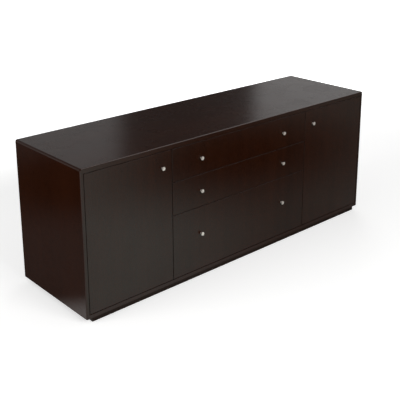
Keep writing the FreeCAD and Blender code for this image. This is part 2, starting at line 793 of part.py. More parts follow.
def drawer(name, lower, upper, knob_z):
    """A drawer: an applied front with two knobs, a box of boards and its slides."""
    grip = "front_thickness + box_board"
    slab = front_slab(f"{name}_slab", "drawer_left", "width - drawer_left", lower, upper)
    keep(cut(f"{name}_front", slab, *drawer_knob_holes(f"{name}_front", knob_z, grip)))
    keep(pair(f"{name}_knobs", knob(f"{name}_left_knob", "drawer_knob_left", knob_z)))
    keep(pair(f"{name}_knob_screws", knob_screw(f"{name}_left_screw", "drawer_knob_left", knob_z, grip)))

    low, high = f"{lower} + box_lift", f"{upper} - box_headroom"
    floor = (f"{low} + box_bottom_rise", f"{low} + box_bottom_rise + box_bottom")
    inside = ("box_left + box_board", "width - box_left - box_board")
    groove_x = (f"{inside[0]} - box_groove", f"{inside[1]} + box_groove")
    groove_y = (f"{grip} - box_groove", "box_back")
    groove = box(f"{name}_groove", groove_x, groove_y, floor)
    side = box(f"{name}_side_board", ("box_left", inside[0]), ("front_thickness", "box_back"), (low, high))
    keep(pair(f"{name}_sides", cut(f"{name}_left_side", side, groove)))
    board = box(f"{name}_box_front_board", inside, ("front_thickness", grip), (low, high))
    holes = drawer_knob_holes(f"{name}_box_front", knob_z, grip)
    keep(cut(f"{name}_box_front", board, groove, *holes))
    keep(box(f"{name}_bottom", groove_x, groove_y, floor))
    keep(box(f"{name}_back", inside, ("box_back - box_board", "box_back"), (floor[1], high)))
    slides(name, f"{low} + slide_rise")


def drawer_knob_holes(label, z, grip):
    """The pair of holes for a drawer's knob screws."""
    return [
        knob_hole(f"{label}_left_hole", "drawer_knob_left", z, grip),
        knob_hole(f"{label}_right_hole", "width - drawer_knob_left", z, grip),
    ]


def file_rails():
    """Two rails across the file drawer that hanging folders hook over."""
    x = ("box_left + box_board", "width - box_left - box_board")
    top = "file_front_top - box_headroom - file_rail_drop"
    middle = "(front_thickness + box_back) / 2"
    rails = []
    for name, sign in (("front", "-"), ("rear", "+")):
        y = f"{middle} {sign} file_rail_spacing / 2 - file_rail_width / 2"
        rail = box(f"{name}_file_rail", x, (y, f"{y} + file_rail_width"), (f"{top} - file_rail_height", top))
        rails.append(rail)
    keep(group("hanging_file_rails", *rails))


def drawers():
    """The bank of drawers, from the top down."""
    half = "shallow_front / 2"
    drawer("top_drawer", "top_front_bottom", "fronts_top", f"fronts_top - {half}")
    drawer("middle_drawer", "middle_front_bottom", "middle_front_top", f"middle_front_top - {half}")
    drawer("file_drawer", "fronts_bottom", "file_front_top", "file_front_top - file_knob_drop")
    file_rails()


# ---- Build, check and write -----------------------------------------------------------------------


def check_document():
    """Stops at the first object that failed, and at any sub-part without a whole, valid shape."""
    for made in DOC.Objects:
        failed = {"Invalid", "Error"} & set(made.State)
        if failed:
            raise RuntimeError(f"{made.Label} failed: {made.State}")
    for made in SUB_PARTS:
        if made.Shape.isNull() or not made.Shape.isValid() or not made.Shape.Solids:
            raise RuntimeError(f"{made.Label} has no valid shape")


def main():
    top_panel()
    end_panels()
    bottom_panel()
    partitions()
    back_panel()
    plinth()
    shelves()
    catches()
    bumpers()
    pivots()
    doors()
    drawers()
    DOC.recompute()
    check_document()
    os.makedirs("parts", exist_ok=True)
    for made in SUB_PARTS:
        made.Shape.exportStep(f"parts/{made.Label}.step")
        print(f"{made.Label}: {len(made.Shape.Solids)} solid(s), {made.Shape.Volume / 1000:.1f} cm3")


main()
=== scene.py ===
"""Visual model of an office credenza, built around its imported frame.

The case, its plinth, the two hinged doors and the three drawers each have a class that builds the
fine pieces and dresses the frame's own nodes. Lengths in those classes are millimetres in the
frame's axes: +X along the length, +Y from front to back, +Z up. Meshes, materials, lights and the
camera are in metres.
"""

import json
import logging
import math
from dataclasses import dataclass
from enum import Enum
from functools import cache, reduce

import bpy
import numpy as np
from mathutils import Matrix, Vector


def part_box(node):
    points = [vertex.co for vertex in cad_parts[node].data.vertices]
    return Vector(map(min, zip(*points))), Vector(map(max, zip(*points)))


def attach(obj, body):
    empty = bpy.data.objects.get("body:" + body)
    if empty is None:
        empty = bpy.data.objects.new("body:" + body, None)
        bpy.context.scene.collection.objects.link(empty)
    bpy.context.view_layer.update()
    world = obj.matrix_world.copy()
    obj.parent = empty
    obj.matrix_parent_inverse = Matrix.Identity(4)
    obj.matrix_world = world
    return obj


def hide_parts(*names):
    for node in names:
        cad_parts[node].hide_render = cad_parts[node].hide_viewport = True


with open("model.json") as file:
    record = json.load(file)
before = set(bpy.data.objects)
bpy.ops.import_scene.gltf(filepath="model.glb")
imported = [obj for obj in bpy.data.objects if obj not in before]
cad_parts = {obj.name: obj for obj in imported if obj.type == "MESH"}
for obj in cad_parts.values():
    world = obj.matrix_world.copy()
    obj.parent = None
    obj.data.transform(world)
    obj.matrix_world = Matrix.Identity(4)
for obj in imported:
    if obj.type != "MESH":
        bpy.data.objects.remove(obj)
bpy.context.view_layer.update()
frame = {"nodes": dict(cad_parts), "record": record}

log = logging.getLogger("credenza")

MM = 0.001
TINY = 1e-12
QUARTER_TURN = math.pi / 2
FULL_TURN = 2 * math.pi
IMAGE_WIDTH = 400
SENSOR_WIDTH = 36.0

Colour = tuple[float, float, float]
Point = tuple[float, float, float]
Span = tuple[float, float]
Material = bpy.types.Material
NodeTree = bpy.types.NodeTree
Socket = bpy.types.NodeSocket
Sockets = bpy.types.bpy_prop_collection
Value = float | tuple | Socket

ORIGIN = (0.0, 0.0, 0.0)
BLACK = (0.0, 0.0, 0.0)
WHITE = (1.0, 1.0, 1.0)


class Side(Enum):
    """The two ends of the credenza, as seen from the front, with the sign of their X."""

    LEFT = -1
    RIGHT = 1

    @property
    def word(self) -> str:
        """The word that the frame's node and body names start with."""
        return self.name.lower()


class Grain(Enum):
    """The axis that the fibres run along, with the turn that brings it to the pattern's Z."""

    ALONG_X = (0.0, QUARTER_TURN, 0.0)
    ALONG_Y = (QUARTER_TURN, 0.0, 0.0)
    UPRIGHT = (0.0, 0.0, 0.0)

    @staticmethod
    def of_box(low: np.ndarray, high: np.ndarray) -> "Grain":
        """The grain along a board's longest side."""
        return (Grain.ALONG_X, Grain.ALONG_Y, Grain.UPRIGHT)[int(np.argmax(high - low))]


class Slot(Enum):
    """The record's material slots."""

    ESPRESSO = "espresso_veneer"
    INNER = "inner_veneer"
    PLINTH = "plinth_veneer"
    BACK_BOARD = "back_board"
    BLOCK_WOOD = "block_wood"
    DRAWER_WOOD = "drawer_wood"
    DRAWER_PLY = "drawer_ply"
    NICKEL = "brushed_nickel"
    PLATED = "plated_steel"
    SLIDE_STEEL = "slide_steel"
    SCREW_STEEL = "screw_steel"
    RAIL = "rail_aluminium"
    CATCH = "catch_plastic"
    FELT = "bumper_felt"
    GLIDE = "glide_plastic"


GRAINLESS = {Slot.NICKEL, Slot.PLATED, Slot.SCREW_STEEL, Slot.CATCH, Slot.FELT, Slot.GLIDE}


# ---- Surfaces ----


@dataclass
class Shell:
    """One closed surface as arrays.

    points are in millimetres, quads and caps number them, and each face corner has its own UV: the
    part of the way round, and the millimetres gone along the surface.
    """

    points: np.ndarray
    quads: np.ndarray
    caps: list[np.ndarray]
    quad_uv: np.ndarray
    cap_uv: list[np.ndarray]

    def faces(self) -> list[np.ndarray]:
        """Every face as an array of point numbers, quads first."""
        return [*self.quads, *self.caps]

    def corner_uv(self) -> np.ndarray:
        """The UV of every face's corners, in the order of the faces."""
        return np.concatenate([uv.reshape(-1, 2) for uv in (self.quad_uv, *self.cap_uv)])

    def corners(self) -> list[np.ndarray]:
        """The corner points of the quads as one array, and of each cap as an array of one face."""
        return [self.points[face] for face in (self.quads, *(cap[None] for cap in self.caps))]

    def volume(self) -> float:
        """A sixth of the sum of a . (b x c) over fans of triangles; negative if inside out."""
        fans = ((face[:, :1], face[:, 1:-1], face[:, 2:]) for face in self.corners())
        return sum(float(np.sum(a * np.cross(b, c))) for a, b, c in fans) / 6

    def outward(self) -> "Shell":
        """Turns the faces round if they look inwards.

        Returns:
            The same surface, looking outwards.
        """
        if self.volume() < 0:
            self.quads, self.quad_uv = self.quads[:, ::-1], self.quad_uv[:, ::-1]
            self.caps = [cap[::-1] for cap in self.caps]
            self.cap_uv = [uv[::-1] for uv in self.cap_uv]
        return self

    def normals(self) -> np.ndarray:
        """Adds up each point's face normals by their areas.

        A face's doubled area vector is the sum of the cross products of neighbouring corners. Large
        flat faces outweigh the narrow roundings beside them, so they stay flat in the light.

        Returns:
            A unit normal for each point.
        """
        total = np.zeros_like(self.points)
        numbers = (self.quads, *(cap[None] for cap in self.caps))
        for face, corners in zip(numbers, self.corners()):
            area = np.cross(corners, np.roll(corners, -1, axis=1)).sum(axis=1)
            np.add.at(total, face, area[:, None, :])
        return total / np.maximum(np.linalg.norm(total, axis=1, keepdims=True), TINY)


def wrap_rings(rings: np.ndarray) -> Shell:
    """Closes a stack of rings into one surface.

    Quad (i, j) joins points j and j + 1 of ring i to those of ring i + 1, with j counted round, and
    the first and last rings are each closed by one face.

    Args:
        rings: an array of rings, points and coordinates, in millimetres.

    Returns:
        The closed surface, looking outwards.
    """
    count, sides = rings.shape[:2]
    i, j = np.meshgrid(np.arange(count - 1), np.arange(sides), indexing="ij")
    below, above, after = i * sides, (i + 1) * sides, (j + 1) % sides
    quads = np.stack([below + j, below + after, above + after, above + j], -1)
    steps = np.linalg.norm(np.diff(rings[:, 0], axis=0), axis=1)
    gone = np.concatenate([[0.0], np.cumsum(steps)])
    u = np.stack([j, j + 1, j + 1, j], -1) / sides
    v = np.stack([gone[i], gone[i], gone[i + 1], gone[i + 1]], -1)
    quad_uv = np.stack([u, v], -1).reshape(-1, 4, 2)
    ring = np.arange(sides)
    caps = [ring[::-1], (count - 1) * sides + ring]
    cap_uv = [rows(cap % sides / sides, way) for cap, way in zip(caps, gone[[0, -1]])]
    return Shell(rings.reshape(-1, 3), quads.reshape(-1, 4), caps, quad_uv, cap_uv).outward()


def rows(*columns: np.ndarray | float) -> np.ndarray:
    """Rows made of columns, each an array or one number for all rows."""
    return np.stack(np.broadcast_arrays(*columns), -1)


def basis(axis: Point) -> np.ndarray:
    """Two directions across an axis, and the axis.

    The first is the cross product of the frame's axis that is most across and this axis, and the
    second that of this axis and the first.

    Args:
        axis: a direction of any length.

    Returns:
        Three unit rows, with the axis last.
    """
    along = np.array(axis, float) / np.linalg.norm(axis)
    first = np.cross(np.eye(3)[int(np.argmin(np.abs(along)))], along)
    first /= np.linalg.norm(first)
    return np.stack([first, np.cross(along, first), along])


def lathe(profile: np.ndarray, centre: Point, axis: Point, sides: int = 64) -> Shell:
    """Turns a profile round an axis.

    A point is centre + height * axis + radius * (cos a * e1 + sin a * e2), for angles a all round.

    Args:
        profile: rows of (radius, height above the centre).
        centre: where height 0 of the axis is.
        axis: the direction that height grows in.
        sides: angles round the axis.

    Returns:
        The turned surface.
    """
    angle = np.arange(sides) * FULL_TURN / sides
    radius, height = profile[:, 0, None], profile[:, 1, None]
    local = rows(radius * np.cos(angle), radius * np.sin(angle), height)
    return wrap_rings(np.array(centre) + local @ basis(axis))


def slab(low: Point, high: Point, arris: float, corner: float = 0.25, steps: int = 3) -> Shell:
    """A board with all its edges rounded.

    Each ring is a rectangle with round corners across the board's thinnest side. Going through the
    thickness, it grows by arris * sin t while it rises by arris * (1 - cos t), t from 0 to 90
    degrees, runs straight to the other side, and shrinks in the same way.

    Args:
        low: the lowest corner.
        high: the highest corner.
        arris: radius of the rounding along the edges, which stays under half the thickness.
        corner: what is added to that radius at the four corners of the outline.
        steps: segments in each rounding.

    Returns:
        The board's surface.
    """
    lowest, highest = np.minimum(low, high), np.maximum(low, high)
    size, middle = highest - lowest, (lowest + highest) / 2
    thin = int(np.argmin(size))
    arris = min(arris, 0.49 * size[thin])
    t = np.linspace(0, QUARTER_TURN, steps + 1)
    grow = arris * np.concatenate([np.sin(t), np.sin(t)[::-1]])
    rise = arris * (1 - np.cos(t))
    rise = np.concatenate([rise, (size[thin] - rise)[::-1]])
    turn = (np.arange(4)[:, None] * QUARTER_TURN + t).ravel()
    radius = corner + grow[:, None]
    rings = np.zeros((len(grow), len(turn), 3))
    across = [k for k in range(3) if k != thin]
    ways = ((np.cos, [1, -1, -1, 1]), (np.sin, [1, 1, -1, -1]))
    for k, (wave, signs) in zip(across, ways):
        centre = middle[k] + np.repeat(signs, steps + 1) * (size[k] / 2 - arris - corner)
        rings[..., k] = centre + radius * wave(turn)
    rings[..., thin] = lowest[thin] + rise[:, None]
    return wrap_rings(rings)


HEAD_SIDES = 36
HEAD_SUNK = 0.3
HEAD_RINGS = (0.98, 1.0, 1.0, 0.97, 0.9, 0.8, 0.68, 0.58, 0.5, 0.42, 0.34, 0.26, 0.18, 0.1, 0.03)


def screw_head(centre: Point, axis: Point, radius: float, height: float) -> Shell:
    """A domed screw head, sunk a little into what it holds.

    The height over the disc is height * (0.45 + 0.55 * sqrt(1 - (r / radius)^2)), less the recess:
    a cross, deepest in the middle, where one coordinate is under the arm's half width and the other
    under its reach, with both limits softened.

    Args:
        centre: the middle of the head, on the surface that it bears on.
        axis: the direction that the head looks in.
        radius: radius of the head.
        height: height of the dome's top.

    Returns:
        The head's surface.
    """
    share = np.array(HEAD_RINGS)[:, None]
    angle = np.arange(HEAD_SIDES) * FULL_TURN / HEAD_SIDES
    x, y = share * radius * np.cos(angle), share * radius * np.sin(angle)
    dome = height * (0.45 + 0.55 * np.sqrt(np.clip(1 - share**2, 0, 1))) + 0 * angle
    arm, reach, soft = 0.13 * radius, 0.55 * radius, 0.06 * radius
    near = np.clip((arm - np.minimum(abs(x), abs(y))) / soft + 0.5, 0, 1)
    within = np.clip((reach - np.maximum(abs(x), abs(y))) / (3 * soft), 0, 1)
    dome = dome - 0.8 * height * near * within
    dome[0], dome[1] = -HEAD_SUNK, 0.0
    return wrap_rings(np.array(centre) + rows(x, y, dome) @ basis(axis))


def node_box(node: str) -> tuple[np.ndarray, np.ndarray]:
    """The lowest and highest corners of a frame node, in millimetres."""
    low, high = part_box(node)
    return np.array(low) / MM, np.array(high) / MM


def mirrored(low: Point, high: Point) -> list[tuple[Point, Point]]:
    """A box on the right of the middle and its mirror image on the left."""
    signs = [side.value for side in Side]
    return [((sign * low[0], *low[1:]), (sign * high[0], *high[1:])) for sign in signs]


# ---- Shader trees ----


class Tree:
    """Adds nodes to one node tree and links them."""

    def __init__(self, tree: NodeTree) -> None:
        """Starts on an empty tree."""
        self.tree = tree
        tree.nodes.clear()

    def put(self, socket: Socket, value: Value) -> None:
        """Links a socket to another, or sets its value.

        Args:
            socket: the input.
            value: an output, a number, a vector or a colour, which needs no alpha.
        """
        if isinstance(value, Socket):
            self.tree.links.new(value, socket)
        elif socket.type == "RGBA" and len(value) == 3:
            socket.default_value = (*value, 1.0)
        else:
            socket.default_value = value

    def node(self, kind: str, inputs: dict | None = None, **settings: object) -> Sockets:
        """Adds a node.

        Args:
            kind: its type, without the word ShaderNode in front.
            inputs: values or sockets by the input's name or number.
            settings: attributes of the node.

        Returns:
            The node's outputs.
        """
        made = self.tree.nodes.new("ShaderNode" + kind)
        for name, value in settings.items():
            setattr(made, name, value)
        for name, value in (inputs or {}).items():
            self.put(made.inputs[name], value)
        return made.outputs

    def math(self, operation: str, *values: Value, clamp: bool = False) -> Socket:
        """The result of a Math node on one, two or three values."""
        return self.node("Math", dict(enumerate(values)), operation=operation, use_clamp=clamp)[0]

    def times(self, *values: Value) -> Socket:
        """The product of two or more values."""
        return reduce(lambda first, second: self.math("MULTIPLY", first, second), values)

    def plus(self, *values: Value) -> Socket:
        """The sum of two or more values."""
        return reduce(lambda first, second: self.math("ADD", first, second), values)

    def mix(self, factor: Value, first: Value, second: Value, blend: str = "MIX") -> Socket:
        """The colour between two colours."""
        inputs = {0: factor, 6: first, 7: second}
        return self.node("Mix", inputs, data_type="RGBA", blend_type=blend)[2]

    def remap(
        self, value: Value, low: float, high: float, to_low: float = 0.0, to_high: float = 1.0
    ) -> Socket:
        """A value moved smoothly from one range to another, and held at its ends."""
        inputs = dict(enumerate((value, low, high, to_low, to_high)))
        return self.node("MapRange", inputs, interpolation_type="SMOOTHSTEP")[0]

    def noise(
        self, vector: Socket, scale: Value, detail: float = 3.0, rough: float = 0.5,
        bend: float = 0.0,
    ) -> Socket:
        """The value of a Noise texture."""
        inputs = {"Scale": scale, "Detail": detail, "Roughness": rough, "Distortion": bend}
        return self.node("TexNoise", {"Vector": vector, **inputs})[0]

    def vectors(self, operation: str, first: Value, second: Value = ORIGIN) -> Sockets:
        """The outputs of a Vector Math node, Vector and Value, on one or two vectors."""
        return self.node("VectorMath", {0: first, 1: second}, operation=operation)

    def stretch(self, vector: Socket, scale: Value) -> Socket:
        """A vector multiplied by a scale along each axis."""
        return self.vectors("MULTIPLY", vector, scale)[0]

    def rays(self) -> tuple[Socket, Socket]:
        """Tells the rays apart.

        Returns:
            Whether a ray is glossy, and whether it is the camera's, straight or through glass.
        """
        rays = self.node("LightPath")
        seen = self.math("MAXIMUM", rays["Is Camera Ray"], rays["Is Transmission Ray"])
        return rays["Is Glossy Ray"], seen


class GroupTree(Tree):
    """A node group with named inputs, a vector first, and named outputs."""

    def __init__(self, name: str, inputs: dict[str, Value], outputs: dict[str, str]) -> None:
        """Makes the group and its sockets.

        Args:
            name: the group's name.
            inputs: default values by name; a number, or a colour of four numbers.
            outputs: kinds of socket by name: Float, Color or Vector.
        """
        super().__init__(bpy.data.node_groups.new(name, "ShaderNodeTree"))
        new_socket = self.tree.interface.new_socket
        for key, value in {"Vector": ORIGIN, **inputs}.items():
            kind = "Float" if isinstance(value, float) else "Color" if len(value) == 4 else "Vector"
            made = new_socket(key, in_out="INPUT", socket_type="NodeSocket" + kind)
            made.default_value = value
        for key, kind in outputs.items():
            new_socket(key, in_out="OUTPUT", socket_type="NodeSocket" + kind)
        self.given = self.tree.nodes.new("NodeGroupInput").outputs
        self.vector = self.given["Vector"]
        self.result = self.tree.nodes.new("NodeGroupOutput").inputs

    def give(self, **values: Socket) -> NodeTree:
        """Links the outputs.

        Args:
            values: what each output gives, by its name.

        Returns:
            The finished group.
        """
        for name, value in values.items():
            self.put(self.result[name], value)
        return self.tree


@cache
def wood_grain() -> NodeTree:
    """Wood fibres along Z: broad figure, fine fibres and short dark pores.

    Returns:
        The group.
    """
    tones = {"Dark": (0.1, 0.05, 0.03, 1.0), "Light": (0.2, 0.1, 0.06, 1.0)}
    shares = {"Figure": 0.5, "Fibres": 0.5, "Pores": 0.5, "Figure Scale": 5.0}
    t = GroupTree("wood_grain", tones | shares, {"Color": "Color", "Height": "Float"})
    dark, scale = t.given["Dark"], t.given["Figure Scale"]
    broad = t.noise(t.stretch(t.vector, (1.0, 1.0, 0.16)), scale, detail=4.0, rough=0.55, bend=1.2)
    rings = {"Scale": scale, "Distortion": 9.0, "Detail": 3.0, "Detail Scale": 0.6}
    drawn_out = t.stretch(t.vector, (1.0, 1.0, 0.1))
    bands = t.node("TexWave", {"Vector": drawn_out, **rings}, bands_direction="X")[1]
    fine = t.noise(t.stretch(t.vector, (1.0, 1.0, 0.012)), scale=520.0, rough=0.6)
    pore = t.noise(t.stretch(t.vector, (1.0, 1.0, 0.05)), scale=1300.0, detail=1.0, rough=0.4)
    depth = t.times(t.remap(pore, 0.6, 0.72), t.given["Pores"])
    figure = t.times(t.plus(broad, t.times(bands, 0.12)), t.given["Figure"])
    fibre = t.times(fine, t.given["Fibres"])
    total = t.plus(t.given["Figure"], t.given["Fibres"])
    tone = t.math("DIVIDE", t.plus(figure, fibre), t.math("MAXIMUM", total, 0.01))
    wood = t.mix(t.remap(tone, 0.3, 0.85), dark, t.given["Light"])
    return t.give(
        Color=t.mix(depth, wood, dark, "MULTIPLY"), Height=t.math("SUBTRACT", fibre, depth)
    )


@cache
def edge_wear() -> NodeTree:
    """A patchy mask along edges, and a normal that rounds sharp edges over.

    Returns:
        The group.
    """
    inputs = {"Radius": 0.0012, "Amount": 0.5, "Patch Scale": 22.0}
    t = GroupTree("edge_wear", inputs, {"Mask": "Float", "Normal": "Vector"})
    rounded = t.node("Bevel", {"Radius": t.given["Radius"]}, samples=4)[0]
    facing = t.vectors("DOT_PRODUCT", rounded, t.node("NewGeometry")["Normal"])["Value"]
    bend = t.remap(facing, 0.995, 0.86)
    patch = t.noise(t.vector, t.given["Patch Scale"], detail=5.0, rough=0.65)
    worn = t.times(bend, t.remap(patch, 0.42, 0.68, 0.15, 1.0))
    mask = t.math("MULTIPLY", worn, t.given["Amount"], clamp=True)
    return t.give(Mask=mask, Normal=rounded)


@cache
def surface_dust() -> NodeTree:
    """Faint dust that settles on faces that look up.

    Returns:
        The group.
    """
    t = GroupTree("surface_dust", {"Amount": 0.3}, {"Mask": "Float"})
    upward = t.node("SeparateXYZ", {0: t.node("NewGeometry")["Normal"]})[2]
    settled = t.remap(upward, 0.55, 1.0)
    flecks = t.remap(t.noise(t.vector, scale=240.0, rough=0.7), 0.5, 0.75, 0.1, 1.0)
    drift = t.remap(t.noise(t.vector, scale=7.0, rough=0.6), 0.35, 0.75, 0.2, 1.0)
    return t.give(Mask=t.times(settled, flecks, t.times(drift, t.given["Amount"])))


@cache
def handling_marks() -> NodeTree:
    """Soft cloudy marks from wiping and touching, for roughness.

    Returns:
        The group.
    """
    t = GroupTree("handling_marks", {"Scale": 9.0, "Amount": 0.5}, {"Mask": "Float"})
    cloud = t.noise(t.vector, t.given["Scale"], detail=5.0, rough=0.62, bend=0.8)
    squeezed = t.stretch(t.vector, (1.0, 1.0, 6.0))
    wipe = t.noise(squeezed, scale=30.0, detail=4.0, rough=0.6, bend=2.0)
    both = t.times(t.remap(cloud, 0.35, 0.7), t.remap(wipe, 0.3, 0.75, 0.3, 1.0))
    return t.give(Mask=t.times(both, t.given["Amount"]))


@cache
def drawn_lines() -> NodeTree:
    """Fine parallel lines across X, as brushing, turning or rolling leaves on metal.

    Returns:
        The group.
    """
    outputs = {"Lines": "Float", "Scratches": "Float"}
    t = GroupTree("drawn_lines", {"Fineness": 900.0, "Length": 0.02}, outputs)
    length, fineness = t.given["Length"], t.given["Fineness"]
    along = t.stretch(t.vector, t.node("CombineXYZ", {0: 1.0, 1: length, 2: length})[0])
    lines = t.noise(along, fineness, detail=2.0, rough=0.7)
    coarse = t.noise(along, t.times(fineness, 0.23), detail=2.0, rough=0.6)
    return t.give(Lines=lines, Scratches=t.remap(coarse, 0.6, 0.74))


@cache
def moulded_grain() -> NodeTree:
    """The fine spark-eroded grain of a moulded surface.

    Returns:
        The group.
    """
    t = GroupTree("moulded_grain", {"Scale": 1400.0}, {"Height": "Float", "Tone": "Float"})
    cells = t.node("TexVoronoi", {"Vector": t.vector, "Scale": t.given["Scale"]})["Distance"]
    return t.give(Height=cells, Tone=t.noise(t.vector, t.times(t.given["Scale"], 0.02)))


class MaterialTree(Tree):
    """A material with one Principled shader, which the shared groups feed."""

    def __init__(self, name: str, grain: Grain = Grain.UPRIGHT) -> None:
        """Starts a material.

        Args:
            name: the material's name.
            grain: the axis to turn to the pattern's Z.
        """
        self.material = bpy.data.materials.new(name)
        self.material.use_nodes = True
        super().__init__(self.material.node_tree)
        self.coordinates = self.node("TexCoord")
        place = {"Vector": self.coordinates["Object"], "Rotation": grain.value}
        self.vector = self.node("Mapping", place)[0]
        self.shader = self.tree.nodes.new("ShaderNodeBsdfPrincipled")
        self.surface = self.tree.nodes.new("ShaderNodeOutputMaterial").inputs[0]
        self.put(self.surface, self.shader.outputs[0])

    def use(self, group: NodeTree, **inputs: Value) -> Sockets:
        """The outputs of a shared group, placed with its values; underscores stand for spaces."""
        given = {key.replace("_", " "): value for key, value in inputs.items()}
        return self.node("Group", {"Vector": self.vector, **given}, node_tree=group)

    def bump(self, height: Socket, strength: float, distance: float, **normal: Socket) -> Socket:
        """A Bump node's normal, from a distance in metres and perhaps a Normal to start from."""
        inputs = {"Height": height, "Strength": strength, "Distance": distance, **normal}
        return self.node("Bump", inputs)[0]

    def finish(self, **inputs: Value) -> None:
        """Sets the shader's sockets, by their names with underscores for spaces."""
        for name, value in inputs.items():
            self.put(self.shader.inputs[name.replace("_", " ")], value)


# ---- Finishes ----


class Finish:
    """A finish that makes its own materials."""

    def material(self, name: str, grain: Grain) -> Material:
        """Makes the finish's material for one direction of the grain.

        Args:
            name: the material's name.
            grain: the axis that its pattern runs along.

        Returns:
            The material.
        """
        t = MaterialTree(name, grain)
        self.lay(t)
        return t.material

    def lay(self, t: MaterialTree) -> None:
        """Adds the finish's nodes to its material."""
        raise NotImplementedError


@dataclass(frozen=True)
class WoodFinish(Finish):
    """Wood in two tones, with a share for each part of its grain."""

    dark: Colour
    light: Colour
    figure: float = 0.5
    fibres: float = 0.5
    pores: float = 0.5
    figure_scale: float = 3.5

    def grain(self, t: MaterialTree) -> Sockets:
        """The outputs of the grain in this wood's tones."""
        names = ("dark", "light", "figure", "fibres", "pores", "figure_scale")
        return t.use(wood_grain(), **{name.title(): getattr(self, name) for name in names})


@dataclass(frozen=True)
class LacqueredVeneer(WoodFinish):
    """Stained veneer under satin lacquer, which handling marks dull and roughen."""

    worn: Colour = (0.085, 0.042, 0.022)
    dust: Colour = (0.32, 0.3, 0.27)
    roughness: float = 0.38
    marks_roughen: float = 0.1
    marks_dull: float = 0.05
    lacquer: float = 0.62
    lacquer_roughness: float = 0.12
    wear: float = 0.3
    dusty: float = 0.012

    def lay(self, t: MaterialTree) -> None:
        """Lays the grain under wear and dust, with the lacquer as the coat.

        Args:
            t: the material's nodes.
        """
        wood = self.grain(t)
        edge = t.use(edge_wear(), Radius=0.0011, Amount=self.wear)
        marks = t.use(handling_marks(), Amount=1.0)["Mask"]
        dust = t.use(surface_dust(), Amount=self.dusty)["Mask"]
        colour = t.mix(edge["Mask"], wood["Color"], self.worn)
        rough = t.remap(marks, 0.0, 1.0, self.roughness, self.roughness + self.marks_roughen)
        whole = t.times(t.math("SUBTRACT", 1.0, edge["Mask"]), self.lacquer)
        t.finish(
            Base_Color=t.mix(dust, colour, self.dust),
            Roughness=t.plus(t.times(wood["Height"], 0.06), rough),
            Coat_Weight=t.math("SUBTRACT", whole, t.times(marks, self.marks_dull), clamp=True),
            Coat_Roughness=self.lacquer_roughness,
            Coat_IOR=1.5,
            Specular_IOR_Level=0.03,
            Normal=t.bump(wood["Height"], 0.16, 0.00012, Normal=edge["Normal"]),
        )


@dataclass(frozen=True)
class BareWood(WoodFinish):
    """Pale wood, raw or under a thin clear sealer."""

    figure: float = 0.7
    fibres: float = 0.6
    pores: float = 0.35
    figure_scale: float = 9.0
    roughness: float = 0.5

    def lay(self, t: MaterialTree) -> None:
        """Lays grain that shows in colour, sheen and relief, with darker marks and paler edges.

        Args:
            t: the material's nodes.
        """
        wood = self.grain(t)
        edge = t.use(edge_wear(), Radius=0.0008, Amount=0.35)
        marks = t.use(handling_marks(), Amount=0.6, Scale=6.0)["Mask"]
        colour = t.mix(t.times(marks, 0.25), wood["Color"], self.dark)
        t.finish(
            Base_Color=t.mix(t.times(edge["Mask"], 0.5), colour, self.light),
            Roughness=t.plus(self.roughness, t.times(wood["Height"], 0.15)),
            Specular_IOR_Level=0.4,
            Normal=t.bump(wood["Height"], 0.35, 0.00015, Normal=edge["Normal"]),
        )


@dataclass(frozen=True)
class FibreBoard(Finish):
    """Thin stained hardboard with short matted fibres."""

    ground: Colour
    fibre: Colour

    def lay(self, t: MaterialTree) -> None:
        """Lays two crossed mats of fibres over a cloudy stain.

        Args:
            t: the material's nodes.
        """
        cloud = t.remap(t.noise(t.vector, scale=6.0, detail=5.0, rough=0.65), 0.3, 0.75)
        mat_x = t.noise(t.stretch(t.vector, (1.0, 1.0, 0.12)), scale=460.0, rough=0.7, bend=1.5)
        mat_z = t.noise(t.stretch(t.vector, (0.12, 1.0, 1.0)), scale=430.0, rough=0.7, bend=1.5)
        fibres = t.remap(t.math("MAXIMUM", mat_x, mat_z), 0.52, 0.74)
        marks = t.use(handling_marks(), Amount=0.8, Scale=4.0)["Mask"]
        t.finish(
            Base_Color=t.mix(t.times(t.plus(fibres, cloud), 0.5), self.ground, self.fibre),
            Roughness=t.remap(marks, 0.0, 0.8, 0.62, 0.78),
            Specular_IOR_Level=0.25,
            Normal=t.bump(fibres, 0.4, 0.00015),
        )


